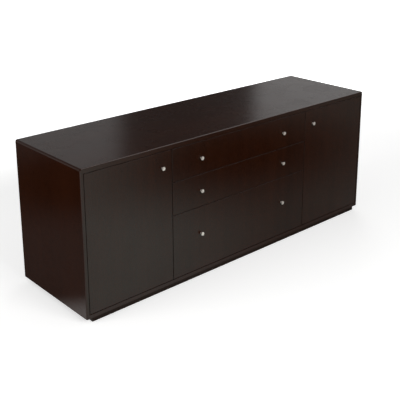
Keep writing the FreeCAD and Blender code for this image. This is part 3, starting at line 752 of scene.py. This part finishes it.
@dataclass(frozen=True)
class Metal(Finish):
    """Plated or extruded metal with drawn lines.

    Turned pieces carry the lines round themselves by their own UV map; rolled ones take them from
    the object's coordinates.
    """

    colour: Colour
    tarnish: Colour
    roughness: float = 0.3
    fineness: float = 900.0
    length: float = 0.02
    depth: float = 0.25
    turned: bool = False
    anisotropy: float = 0.0
    bright: Colour = (0.9, 0.89, 0.87)
    metallic: float = 1.0

    def lay(self, t: MaterialTree) -> None:
        """Lays drawn lines, a patchy tarnish and brighter worn edges.

        Args:
            t: the material's nodes.
        """
        vector = t.vector
        if self.turned:
            round_it, along, _ = t.node("SeparateXYZ", {0: t.coordinates["UV"]})
            vector = t.node("CombineXYZ", {0: along, 1: round_it})[0]
        drawn = t.use(drawn_lines(), Vector=vector, Fineness=self.fineness, Length=self.length)
        lines = drawn["Lines"]
        edge = t.use(edge_wear(), Radius=0.0004, Amount=0.6, Patch_Scale=160.0)
        marks = t.use(handling_marks(), Scale=55.0, Amount=0.7)["Mask"]
        colour = t.mix(t.times(marks, 0.5), self.colour, self.tarnish)
        colour = t.mix(t.times(lines, 0.18), colour, self.tarnish)
        swing = t.times(t.math("SUBTRACT", lines, 0.5), self.depth)
        dulled = t.plus(swing, t.times(marks, 0.12))
        relief = t.math("SUBTRACT", lines, drawn["Scratches"])
        t.finish(
            Base_Color=t.mix(t.times(edge["Mask"], 0.6), colour, self.bright),
            Metallic=self.metallic,
            Roughness=t.math("ADD", self.roughness, dulled, clamp=True),
            Anisotropic=self.anisotropy,
            Normal=t.bump(relief, 0.12, 0.00003, Normal=edge["Normal"]),
        )


@dataclass(frozen=True)
class MouldedPlastic(Finish):
    """Injection-moulded plastic with a fine eroded grain."""

    colour: Colour
    scuffed: Colour
    roughness: float = 0.42

    def lay(self, t: MaterialTree) -> None:
        """Lays the eroded grain with handling marks and scuffed edges.

        Args:
            t: the material's nodes.
        """
        mould = t.use(moulded_grain())
        edge = t.use(edge_wear(), Radius=0.0005, Amount=0.5, Patch_Scale=120.0)
        marks = t.use(handling_marks(), Scale=60.0, Amount=0.7)["Mask"]
        colour = t.mix(t.times(mould["Tone"], 0.4), self.colour, self.scuffed)
        t.finish(
            Base_Color=t.mix(edge["Mask"], colour, self.scuffed),
            Roughness=t.remap(marks, 0.0, 0.7, self.roughness, self.roughness + 0.2),
            Specular_IOR_Level=0.45,
            Normal=t.bump(mould["Height"], 0.25, 0.00008, Normal=edge["Normal"]),
        )


@dataclass(frozen=True)
class Felt(Finish):
    """Pressed felt."""

    dark: Colour
    light: Colour

    def lay(self, t: MaterialTree) -> None:
        """Lays tangled fibres with a soft sheen.

        Args:
            t: the material's nodes.
        """
        first = t.noise(t.stretch(t.vector, (1.0, 1.0, 0.2)), scale=1700.0, rough=0.7, bend=2.5)
        second = t.noise(t.stretch(t.vector, (0.2, 1.0, 1.0)), scale=1500.0, rough=0.7, bend=2.5)
        tangle = t.math("MAXIMUM", first, second)
        t.finish(
            Base_Color=t.mix(t.remap(tangle, 0.45, 0.75), self.dark, self.light),
            Roughness=t.remap(tangle, 0.4, 0.8, 0.85, 1.0),
            Sheen_Weight=0.5,
            Sheen_Roughness=0.4,
            Specular_IOR_Level=0.15,
            Normal=t.bump(tangle, 0.8, 0.0004),
        )


FINISHES: dict[Slot, Finish] = {
    Slot.ESPRESSO: LacqueredVeneer((0.015, 0.0033, 0.0007), (0.0262, 0.006, 0.0014)),
    Slot.INNER: LacqueredVeneer(
        (0.014, 0.0065, 0.0036), (0.034, 0.0165, 0.0092), roughness=0.46, lacquer=0.15, wear=0.2
    ),
    Slot.PLINTH: LacqueredVeneer(
        (0.009, 0.004, 0.0023), (0.02, 0.0095, 0.0055), roughness=0.42, lacquer=0.14, wear=0.5,
        dusty=0.3,
    ),
    Slot.BACK_BOARD: FibreBoard((0.026, 0.0135, 0.0085), (0.06, 0.034, 0.022)),
    Slot.BLOCK_WOOD: BareWood((0.3, 0.17, 0.085), (0.56, 0.38, 0.21), roughness=0.7),
    Slot.DRAWER_WOOD: BareWood((0.42, 0.25, 0.125), (0.66, 0.46, 0.27), roughness=0.42),
    Slot.DRAWER_PLY: BareWood(
        (0.45, 0.29, 0.155), (0.68, 0.5, 0.31), roughness=0.48, figure=0.9, figure_scale=5.0
    ),
    Slot.NICKEL: Metal(
        (0.88, 0.78, 0.72), (0.64, 0.56, 0.51), fineness=9.0, length=0.35, depth=0.22, turned=True,
        anisotropy=0.35, metallic=0.6,
    ),
    Slot.PLATED: Metal(
        (0.075, 0.06, 0.05), (0.04, 0.03, 0.024), roughness=0.42, bright=(0.2, 0.16, 0.12)
    ),
    Slot.SLIDE_STEEL: Metal(
        (0.6, 0.62, 0.65), (0.4, 0.41, 0.42), roughness=0.34, fineness=700.0
    ),
    Slot.SCREW_STEEL: Metal(
        (0.58, 0.57, 0.53), (0.33, 0.31, 0.27), roughness=0.32, fineness=1500.0
    ),
    Slot.RAIL: Metal((0.72, 0.73, 0.75), (0.5, 0.51, 0.53), roughness=0.36, fineness=1100.0),
    Slot.CATCH: MouldedPlastic((0.014, 0.011, 0.009), (0.05, 0.042, 0.036)),
    Slot.FELT: Felt((0.012, 0.009, 0.007), (0.05, 0.04, 0.033)),
    Slot.GLIDE: MouldedPlastic((0.01, 0.01, 0.01), (0.06, 0.058, 0.055), roughness=0.36),
}


def add_object(name: str, data: bpy.types.ID) -> bpy.types.Object:
    """Puts a new object into the scene, at the origin.

    Args:
        name: its name.
        data: its mesh, lamp or camera.

    Returns:
        The object.
    """
    made = bpy.data.objects.new(name, data)
    bpy.context.scene.collection.objects.link(made)
    return made


class Workshop:
    """Makes each finish once, makes the new pieces and dresses the frame's nodes."""

    def __init__(self) -> None:
        """Reads which slot each node of the frame has."""
        parts = frame["record"]["subparts"]
        self.made: dict[tuple[Slot, Grain], Material] = {}
        self.slots = {part["node"]: Slot(part["material_slot"]) for part in parts}

    def finish(self, slot: Slot, grain: Grain) -> Material:
        """The material of a slot.

        Args:
            slot: the record's slot.
            grain: the axis that its pattern runs along, if it has a direction.

        Returns:
            The material, made on its first use.
        """
        if slot in GRAINLESS:
            grain = Grain.UPRIGHT
        if (slot, grain) not in self.made:
            name = f"{slot.value}_{grain.name.lower()}"
            self.made[slot, grain] = FINISHES[slot].material(name, grain)
            log.info("finish %s", name)
        return self.made[slot, grain]

    def dress(self, node: str, grain: Grain | None = None) -> None:
        """Gives a node of the frame its slot's finish.

        Args:
            node: the node's name.
            grain: the axis that its pattern runs along; the node's longest side if none is given.
        """
        grain = grain or Grain.of_box(*node_box(node))
        for holder in frame["nodes"][node].material_slots:
            holder.material = self.finish(self.slots[node], grain)
        log.info("dressed %s", node)

    def piece(
        self, name: str, shells: list[Shell], body: str, slot: Slot, *stands_for: str,
        grain: Grain = Grain.UPRIGHT,
    ) -> None:
        """Makes one piece from its surfaces.

        Args:
            name: the piece's name.
            shells: its closed surfaces, in millimetres.
            body: the frame body that it rides on.
            slot: the record's slot that it takes its finish from.
            stands_for: the frame's nodes that it replaces.
            grain: the axis that its fibres or lines run along.
        """
        starts = np.cumsum([0] + [len(shell.points) for shell in shells])
        points = np.concatenate([shell.points for shell in shells]) * MM
        faces = [face + start for shell, start in zip(shells, starts) for face in shell.faces()]
        uv = np.concatenate([shell.corner_uv() for shell in shells])
        normals = np.concatenate([shell.normals() for shell in shells])
        mesh = bpy.data.meshes.new(name)
        mesh.from_pydata(points.tolist(), [], [face.tolist() for face in faces])
        layer = mesh.uv_layers.new(name="surface")
        layer.data.foreach_set("uv", uv.astype(np.float32).ravel())
        mesh.polygons.foreach_set("use_smooth", np.ones(len(faces), bool))
        mesh.normals_split_custom_set_from_vertices(normals.tolist())
        mesh.materials.append(self.finish(slot, grain))
        made = add_object(name, mesh)
        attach(made, body)
        if stands_for:
            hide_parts(*stands_for)
        log.info("piece %s: %d faces on %s", name, len(faces), body)


# ---- Sub-assemblies ----


@dataclass(frozen=True)
class Knob:
    """A flared, turned knob that stands out of a front towards -Y."""

    x: float
    z: float
    front: float
    reach: float
    face_radius: float
    foot_radius: float = 4.6
    foot_height: float = 0.9
    foot_edge: float = 0.25
    waist_radius: float = 3.8
    waist: float = 4.0
    rim: float = 2.0
    edge: float = 0.6
    lip: float = 0.7
    dish: float = 0.55
    flare_bend: float = 1.15
    foot_start: float = 0.3
    face_end: float = 0.15
    rim_step: Span = (0.12, 0.1)
    sunk: float = 0.02

    def profile(self) -> np.ndarray:
        """The turned outline, from the foot to the middle of the face.

        The foot tapers to the waist by a sine; above it the radius grows with a power of the
        height, which hollows the flare a little. A rounded band follows, and the face dips by a
        cosine.

        Returns:
            Rows of radius and height.
        """
        foot, top, band = self.foot_radius, self.foot_height, self.reach - self.rim
        plate = rows(
            [self.foot_start, foot - self.foot_edge, foot, foot], [0.0, 0.0, self.foot_edge, top]
        )
        t = np.linspace(0, 1, 7)[1:]
        taper = (foot - self.waist_radius) * np.sin(t * QUARTER_TURN)
        shank = rows(foot - taper, top + (self.waist - top) * t)
        t = np.linspace(0, 1, 14)[1:]
        swell = (self.face_radius - self.waist_radius) * t**self.flare_bend
        flare = rows(self.waist_radius + swell, self.waist + (band - self.waist) * t)
        flare[-1] -= self.rim_step
        side = rows(self.face_radius, [band + self.rim_step[1], self.reach - self.edge])
        t = np.linspace(0, QUARTER_TURN, 6)[1:]
        inward, back = self.edge * (1 - np.cos(t)), self.edge * (1 - np.sin(t))
        corner = rows(self.face_radius - inward, self.reach - back)
        lip = self.face_radius - self.edge - self.lip
        r = np.linspace(lip, self.face_end, 12)
        dip = self.dish * (0.5 + 0.5 * np.cos(math.pi * r / lip))
        face = rows(r, self.reach - dip - self.sunk)
        return np.concatenate([plate, shank, flare, side, corner, face])

    def shell(self) -> Shell:
        """The knob's turned surface."""
        return lathe(self.profile(), (self.x, self.front, self.z), (0, -1, 0), sides=72)


@dataclass(frozen=True)
class KnobScrew:
    """The machine screw that holds a knob from behind its front."""

    x: float
    z: float
    tip: float
    back: float
    radius: float = 2.0
    pitch: float = 0.7
    thread: float = 0.14
    undercut: float = 0.16
    head_radius: float = 4.5
    head_height: float = 2.2

    def shells(self) -> list[Shell]:
        """A threaded shank, whose radius swings by a cosine of the height, and a head.

        Returns:
            The two surfaces.
        """
        length = self.back - self.tip
        height = np.linspace(0, length, int(length / (self.pitch / 4)))
        swing = self.thread * np.cos(height * FULL_TURN / self.pitch)
        shank = rows(self.radius - self.undercut + swing, height)
        end = (self.x, self.back, self.z)
        return [
            lathe(shank, (self.x, self.tip, self.z), (0, 1, 0), sides=20),
            screw_head(end, (0, 1, 0), self.head_radius, self.head_height),
        ]


@dataclass
class SubAssembly:
    """A part of the credenza, made in the workshop; lengths are in millimetres."""

    shop: Workshop


@dataclass
class KnobSet(SubAssembly):
    """The knobs of one door or drawer and their screws."""

    owner: str
    count: int

    def build(self) -> None:
        """Stands finer turned knobs and screws where the frame's are."""
        owner, make, plural = self.owner, self.shop.piece, "s" if self.count > 1 else ""
        knob_node, screw_node = f"{owner}_knob{plural}", f"{owner}_knob_screw{plural}"
        low, high = node_box(knob_node)
        screw_low, screw_high = node_box(screw_node)
        radius, z = (high[2] - low[2]) / 2, (low[2] + high[2]) / 2
        places = [low[0] + radius, high[0] - radius][: self.count]
        knobs = [Knob(x, z, high[1], high[1] - low[1], radius).shell() for x in places]
        back = screw_high[1] - KnobScrew.head_height
        screws = [s for x in places for s in KnobScrew(x, z, screw_low[1], back).shells()]
        make(f"{owner}_turned_knobs", knobs, owner, Slot.NICKEL, knob_node)
        make(f"{owner}_machine_screws", screws, owner, Slot.SCREW_STEEL, screw_node)


@dataclass
class Case(SubAssembly):
    """The case: top, ends, bottom, partitions, shelves and back, with their small fittings."""

    body: str = "carcass"
    lying: tuple[str, ...] = ("top_panel", "bottom_panel", "back_panel")
    standing: tuple[str, ...] = (
        "left_side_panel", "right_side_panel", "left_partition", "right_partition"
    )
    fittings: tuple[str, ...] = ("door_pivot_plates", "shelf_pins", "front_bumpers")
    shelf_arris: float = 1.0
    back_screw_radius: float = 3.4
    back_screw_height: float = 1.6
    back_screw_inset: float = 9.0
    back_screw_spacing: float = 230.0
    cap_radius: float = 8.5
    cap_height: float = 1.1
    cap_sunk: float = 0.2
    cap_y: Span = (-130.0, 190.0)
    cap_z: Span = (60.0, 648.0)
    catch_arris: float = 1.2
    catch_setback: float = 0.6
    pole_heights: Span = (3.4, 7.6)
    pole_thickness: float = 1.6
    pole_inset: float = 5.0
    pole_depth: float = 5.0

    def build(self) -> None:
        """Dresses the boards and adds the fittings."""
        for node in self.lying:
            self.shop.dress(node, Grain.ALONG_X)
        for node in self.standing:
            self.shop.dress(node, Grain.UPRIGHT)
        for node in self.fittings:
            self.shop.dress(node)
        self.shelves()
        self.back_screws()
        self.cover_caps()
        self.catches()

    def shelves(self) -> None:
        """Adjustable shelves with eased edges."""
        for side in Side:
            node, name = f"{side.word}_shelf", f"{side.word}_eased_shelf"
            shell = slab(*node_box(node), arris=self.shelf_arris)
            self.shop.piece(name, [shell], self.body, Slot.INNER, node, grain=Grain.ALONG_X)

    def back_screws(self) -> None:
        """Pan-head screws round the back panel and along the partitions, in even rows."""
        low, high = node_box("back_panel")
        inset, gap = self.back_screw_inset, self.back_screw_spacing
        columns, levels = (
            np.linspace(low[k] + inset, high[k] - inset, 2 + int((high[k] - low[k]) / gap))
            for k in (0, 2)
        )
        part_low, part_high = node_box("right_partition")
        middle = (part_low[0] + part_high[0]) / 2
        uprights = (*columns[[0, -1]], middle, -middle)
        spots = {(x, z) for x in columns for z in levels[[0, -1]]}
        spots |= {(x, z) for x in uprights for z in levels[1:-1]}
        size = (self.back_screw_radius, self.back_screw_height)
        heads = [screw_head((x, high[1], z), (0, 1, 0), *size) for x, z in sorted(spots)]
        self.shop.piece("back_panel_pan_screws", heads, self.body, Slot.SCREW_STEEL)

    def cover_caps(self) -> None:
        """Low domed caps over the joint fittings, inside the two door bays.

        A cap's outline rises steeply at its rim and flattens to the middle: height * sqrt(1 - r^4).
        """
        r = np.linspace(1, 0.02, 9)
        dome = rows(self.cap_radius * r, self.cap_height * np.sqrt(1 - r**4))
        profile = np.concatenate([[[self.cap_radius, -self.cap_sunk]], dome])
        end, partition = node_box("right_side_panel")[0][0], node_box("right_partition")[1][0]
        caps = [
            lathe(profile, (side.value * x, y, z), (side.value * facing, 0, 0), sides=36)
            for y in self.cap_y
            for z in self.cap_z
            for side in Side
            for x, facing in ((end, -1), (partition, 1))
        ]
        self.shop.piece("joint_cover_caps", caps, self.body, Slot.CATCH)

    def catches(self) -> None:
        """Magnet catches: a moulded housing with two steel pole strips at its face."""
        low, high = node_box("door_catches")
        inner = abs(node_box("left_door_strike")[1][0])
        face = (inner, low[1] + self.catch_setback, low[2])
        housings = [slab(*box, self.catch_arris, corner=0.8) for box in mirrored(face, high)]
        poles = []
        for z in low[2] + np.array(self.pole_heights):
            start = (inner + self.pole_inset, low[1], z)
            end = (high[0] - self.pole_inset, low[1] + self.pole_depth, z + self.pole_thickness)
            poles += [slab(*box, arris=0.2, corner=0.1) for box in mirrored(start, end)]
        self.shop.piece("catch_housings", housings, self.body, Slot.CATCH, "door_catches")
        self.shop.piece("catch_poles", poles, self.body, Slot.PLATED)


@dataclass
class Plinth(SubAssembly):
    """The recessed plinth with its corner blocks and glides."""

    body: str = "carcass"
    arris: float = 0.9

    def build(self) -> None:
        """Eased plinth rails; blocks and glides keep the frame's shape."""
        front, rear = node_box("plinth_front_rail"), node_box("plinth_rear_rail")
        low, high = node_box("plinth_end_rails")
        inner = (high[0] - (front[1][1] - front[0][1]), low[1], low[2])
        for name, node, boxes, grain in (
            ("front_board", "front_rail", [front], Grain.ALONG_X),
            ("rear_board", "rear_rail", [rear], Grain.ALONG_X),
            ("end_boards", "end_rails", mirrored(inner, high), Grain.ALONG_Y),
        ):
            boards = [slab(*box, self.arris) for box in boxes]
            self.shop.piece(
                f"plinth_{name}", boards, self.body, Slot.PLINTH, f"plinth_{node}", grain=grain
            )
        self.shop.dress("plinth_blocks")
        self.shop.dress("levelling_glides")


@dataclass
class Door(SubAssembly):
    """A hinged door with its knob, pivots and strike."""

    side: Side

    def build(self) -> None:
        """Dresses the door and adds its turned knob."""
        name = f"{self.side.word}_door"
        self.shop.dress(f"{name}_panel", Grain.UPRIGHT)
        self.shop.dress(f"{name}_pivots")
        self.shop.dress(f"{name}_strike")
        KnobSet(self.shop, name, 1).build()


@dataclass
class Drawer(SubAssembly):
    """A drawer: front, box, slides and screws."""

    name: str
    side_arris: float = 2.4
    slide_clearance: float = 0.05
    screw_radius: float = 3.6
    screw_height: float = 1.6
    screw_levels: Span = (0.3, 0.75)
    screw_columns: tuple[float, ...] = (-360.0, -120.0, 120.0, 360.0)
    slide_screw_radius: float = 3.8
    slide_screw_height: float = 1.5
    slide_screw_stand: float = 1.2
    slide_screw_places: tuple[float, ...] = (-190.0, -30.0, 180.0)

    def build(self) -> None:
        """Dresses the front and slides, and makes the box's boards and screws."""
        name, dress = self.name, self.shop.dress
        dress(f"{name}_front", Grain.UPRIGHT)
        for part in ("box_front", "bottom"):
            dress(f"{name}_{part}", Grain.ALONG_X)
        for part in ("box_slides", "cabinet_slides", "middle_slides"):
            dress(f"{name}_{part}", Grain.ALONG_Y)
        KnobSet(self.shop, name, 2).build()
        self.box()
        self.screws()

    def box(self) -> None:
        """Box sides and back with their upper edges rounded for the hand."""
        name, make = self.name, self.shop.piece
        sides, back = f"{name}_sides", f"{name}_back"
        low, high = node_box(sides)
        inner = (node_box(f"{name}_box_front")[1][0], low[1], low[2])
        outer = (high[0] - self.slide_clearance, high[1], high[2])
        boards = [slab(*box, self.side_arris, steps=4) for box in mirrored(inner, outer)]
        make(f"{name}_side_boards", boards, name, Slot.DRAWER_WOOD, sides, grain=Grain.ALONG_Y)
        board = slab(*node_box(back), self.side_arris, steps=4)
        make(f"{name}_back_board", [board], name, Slot.DRAWER_WOOD, back, grain=Grain.ALONG_X)

    def screws(self) -> None:
        """Screws through the box front into the front, and those that hold the slides."""
        low, high = node_box(f"{self.name}_box_front")
        heads = [
            screw_head((x, high[1], z), (0, 1, 0), self.screw_radius, self.screw_height)
            for x in self.screw_columns
            for z in (low[2] + level * (high[2] - low[2]) for level in self.screw_levels)
        ]
        slide_low, slide_high = node_box(f"{self.name}_box_slides")
        web = node_box(f"{self.name}_sides")[1][0] + self.slide_screw_stand
        middle = (slide_low[2] + slide_high[2]) / 2
        size = (self.slide_screw_radius, self.slide_screw_height)
        heads += [
            screw_head((side.value * web, y, middle), (side.value, 0, 0), *size)
            for side in Side
            for y in self.slide_screw_places
        ]
        self.shop.piece(f"{self.name}_box_screws", heads, self.name, Slot.SCREW_STEEL)


# ---- Studio ----


@dataclass(frozen=True)
class Softbox:
    """A large soft lamp."""

    name: str
    place: Point
    target: Point
    width: float
    height: float
    watts: float

    def build(self) -> None:
        """Hangs the lamp and turns it to its target."""
        lamp = bpy.data.lights.new(self.name, "AREA")
        lamp.shape, lamp.size, lamp.size_y = "RECTANGLE", self.width, self.height
        lamp.energy = self.watts
        made = add_object(self.name, lamp)
        aim = (Vector(self.target) - Vector(self.place)).to_track_quat("-Z", "Y")
        made.matrix_world = Matrix.Translation(self.place) @ aim.to_matrix().to_4x4()
        made.visible_camera = made.visible_glossy = False
        log.info("softbox %s: %.0f W", self.name, self.watts)


@dataclass(frozen=True)
class Wall:
    """A painted reflection: a bright stretch of the studio's wall that only gloss sees, with the
    fades at its four edges.

    start and end are bearings in degrees, counted from +Y towards +X. foot and top are heights on a
    sphere of radius 1.
    """

    start: Span
    end: Span
    strength: float
    foot: Span = (-0.5, -0.4)
    top: Span = (0.42, 0.6)

    def light(self, t: Tree, bearing: Socket, height: Socket) -> Socket:
        """How bright the wall is in one direction.

        Args:
            t: the surround's nodes.
            bearing: the direction's bearing, in radians.
            height: its height on the sphere.

        Returns:
            The product of the four fades and the strength.
        """
        start, end = (map(math.radians, span) for span in (self.start, self.end))
        rise = t.remap(bearing, *start, 0.0, self.strength)
        fall = t.remap(bearing, *end, 1.0, 0.0)
        upright = t.times(t.remap(height, *self.foot), t.remap(height, *self.top, 1.0, 0.0))
        return t.times(rise, fall, upright)


@dataclass(frozen=True)
class Studio:
    """A plain pale floor, a white surround and soft lamps.

    The fields from the floor's tint in gloss to aside_steps paint what gloss sees of the floor: a
    painted reflection of a slope, a pool and a dim side, each between two distances, a painted tint
    in front, and a painted glow that lifts its light.
    """

    floor_reach: float = 14.0
    floor_cells: int = 8
    floor_colour: Colour = (0.8, 0.8, 0.795)
    floor_patches: Colour = (0.7, 0.7, 0.69)
    # painted reflection: the floor's tint, grey aside and glow, seen only in gloss
    gloss_colour: Colour = (0.73, 0.875, 0.825)
    gloss_aside: Colour = (0.83, 0.83, 0.82)
    gloss_lift: float = 0.64
    beside: Span = (-1.1, -0.95)
    behind: Span = (-0.4, -0.2)
    slope_turn: float = 0.606
    slope_ends: Span = (-0.746, 0.24)
    slope_low: float = 0.37
    pool_centre: Point = (1.1, -1.405, 0.0)
    pool_stretch: Point = (0.704, 1.0, 0.0)
    pool_ends: Span = (0.14, 1.18)
    aside_centre: Point = (-1.9, 1.2, 0.0)
    aside_steps: tuple[Point, ...] = ((0.3, 0.9, 0.1), (1.48, 1.66, 0.74))
    white_stretch: Point = (0.55, 1.0, 0.0)
    white_from: Span = (1.3, 2.6)
    white_near: float = 0.5
    ambient: Colour = (0.26, 0.26, 0.26)
    mirror_strength: float = 0.045
    # painted reflections: bright wall bands that only gloss sees
    walls: tuple[Wall, ...] = (
        Wall((-100.0, -70.0), (34.4, 36.4), 0.37),
        Wall((45.2, 46.8), (85.0, 110.0), 0.6),
        Wall((50.0, 75.0), (140.0, 165.0), 2.7, (0.4, 0.56), (1.1, 1.2)),
    )
    softboxes: tuple[Softbox, ...] = (
        Softbox("overhead_softbox", (0.2, -0.5, 2.9), (0.0, 0.0, 0.4), 3.4, 2.2, 3.0),
        Softbox("front_softbox", (-0.2, -3.6, 2.2), (0.0, -0.2, 0.35), 2.2, 1.6, 75.0),
        Softbox("left_softbox", (-4.2, 0.6, 1.4), (-0.9, 0.0, 0.35), 2.0, 1.8, 74.0),
        Softbox("rear_softbox", (3.4, 2.6, 1.5), (0.3, 0.2, 0.35), 2.2, 1.6, 40.0),
    )

    def build(self) -> None:
        """Builds the floor, the surround and the lamps."""
        self.floor()
        self.surround()
        for softbox in self.softboxes:
            softbox.build()

    def floor(self) -> None:
        """A flat square floor as a grid of quads."""
        count = self.floor_cells + 1
        line = np.linspace(-self.floor_reach, self.floor_reach, count)
        x, y = np.meshgrid(line, line, indexing="ij")
        i, j = np.meshgrid(*(np.arange(self.floor_cells),) * 2, indexing="ij")
        corner = (i * count + j).ravel()
        quads = rows(corner, corner + count, corner + count + 1, corner + 1)
        mesh = bpy.data.meshes.new("studio_floor")
        mesh.from_pydata(rows(x, y, 0.0).reshape(-1, 3).tolist(), [], quads.tolist())
        mesh.materials.append(self.floor_material())
        made = add_object("studio_floor", mesh)

    def floor_in_gloss(self, t: MaterialTree) -> Socket:
        """Painted reflection: how bright the floor is made to look in gloss; no lamp or dark corner
        casts it.

        It is painted to slope down towards the right, with a painted dark pool in the middle of
        that side, and painted dim beside the left end.

        Args:
            t: the floor's nodes.

        Returns:
            The product of the slope, the pool and the side, each from 0 to 1.
        """
        x, y, _ = t.node("SeparateXYZ", {0: t.vector})
        along = t.times(x, math.cos(self.slope_turn))
        across = t.times(y, math.sin(self.slope_turn))
        slope = t.remap(t.plus(along, across), *self.slope_ends, 1.0, self.slope_low)
        moved = t.vectors("SUBTRACT", t.vector, self.pool_centre)[0]
        reach = t.vectors("LENGTH", t.stretch(moved, self.pool_stretch))["Value"]
        gone = t.vectors("DISTANCE", t.vector, self.aside_centre)["Value"]
        steps = (t.remap(gone, near, far, 0.0, share) for near, far, share in self.aside_steps)
        return t.times(slope, t.remap(reach, *self.pool_ends), t.plus(*steps))

    def floor_material(self) -> Material:
        """A matt pale ground that keeps the shadow, with a white glow for the camera further out.

        In gloss its colour is a painted reflection, a made-up brightness with a cool tint in front,
        and it glows with painted light though it is no lamp.

        Returns:
            The material.
        """
        t = MaterialTree("studio_floor_pale")
        gloss, seen = t.rays()
        # painted reflection: the floor's made-up brightness as gloss sees it
        lit = self.floor_in_gloss(t)
        patches = t.times(t.noise(t.vector, scale=3.0, detail=4.0), 0.03)
        pale = t.mix(patches, self.floor_colour, self.floor_patches)
        x, y, _ = t.node("SeparateXYZ", {0: t.vector})
        # painted reflection: in gloss the floor takes the made-up brightness, tinted cool in front
        # and grey beside
        in_front = t.times(t.remap(x, *self.beside), t.remap(y, *self.behind, 1.0, 0.0))
        tint = t.mix(in_front, self.gloss_aside, self.gloss_colour)
        ground = t.mix(gloss, pale, t.mix(lit, BLACK, tint))
        t.finish(Base_Color=ground, Roughness=0.9, Specular_IOR_Level=0.0)
        away = t.vectors("LENGTH", t.stretch(t.vector, self.white_stretch))["Value"]
        white = t.times(t.remap(away, *self.white_from, self.white_near, 1.0), seen)
        # painted glow: in gloss the floor also shines with that brightness, though it is no lamp
        strength = t.plus(white, t.times(lit, gloss, self.gloss_lift))
        glow = t.node("Emission", {"Color": t.mix(gloss, WHITE, tint), "Strength": strength})
        t.put(t.surface, t.node("AddShader", {0: t.shader.outputs[0], 1: glow[0]})[0])
        return t.material

    def surround(self) -> None:
        """A white surround for the camera, a soft grey one for light.

        Gloss sees a painted reflection: a dim room with painted bright stretches of wall, unlike
        the even grey that lights the credenza.
        """
        world = bpy.data.worlds.new("studio_surround")
        world.use_nodes = True
        bpy.context.scene.world = world
        t = Tree(world.node_tree)
        gloss, seen = t.rays()
        x, y, height = t.node("SeparateXYZ", {0: t.node("TexCoord")["Generated"]})
        bearing = t.math("ARCTAN2", x, y)
        # painted reflection: gloss sees the grey surround scaled by a small share, plus the painted
        # wall bands
        lights = (wall.light(t, bearing, height) for wall in self.walls)
        dim = t.mix(gloss, self.ambient, t.plus(self.mirror_strength, *lights))
        light, white = (t.node("Background", {0: colour, 1: 1.0})[0] for colour in (dim, WHITE))
        t.node("OutputWorld", {0: t.node("MixShader", {0: seen, 1: light, 2: white})[0]})


@dataclass(frozen=True)
class StudioCamera:
    """The camera, by its place and its three directions in the frame's axes."""

    place: Point = (-2.4413, -2.677, 1.7391)
    right: Point = (0.74583, -0.66613, -0.00287)
    up: Point = (0.18438, 0.20229, 0.96181)
    forward: Point = (0.64012, 0.71787, -0.27369)
    focal_pixels: float = 763.17
    shift_up: float = -0.225
    clip: Span = (0.05, 100.0)

    def build(self) -> None:
        """Makes the camera the scene's own; its focal length is in pixels of the image."""
        data = bpy.data.cameras.new("studio_camera")
        data.sensor_width = SENSOR_WIDTH
        data.lens = self.focal_pixels / IMAGE_WIDTH * SENSOR_WIDTH
        data.shift_y = self.shift_up
        data.clip_start, data.clip_end = self.clip
        made = add_object("studio_camera", data)
        columns = np.eye(4)
        columns[:3, :2] = rows(self.right, self.up)
        columns[:3, 2:] = rows(-np.array(self.forward), self.place)
        made.matrix_world = Matrix(columns.tolist())
        bpy.context.scene.camera = made
        log.info("camera: %.1f mm", data.lens)


def main() -> None:
    """Builds the camera, the credenza and the studio."""
    logging.basicConfig(level=logging.INFO, format="%(name)s: %(message)s")
    bpy.context.scene.view_settings.view_transform = "Standard"
    StudioCamera().build()
    shop = Workshop()
    Case(shop).build()
    Plinth(shop).build()
    for side in Side:
        Door(shop, side).build()
    for name in ("top", "middle", "file"):
        Drawer(shop, f"{name}_drawer").build()
    shop.dress("hanging_file_rails", Grain.ALONG_X)
    Studio().build()
    log.info("sizes written")


if __name__ == "__main__":
    main()
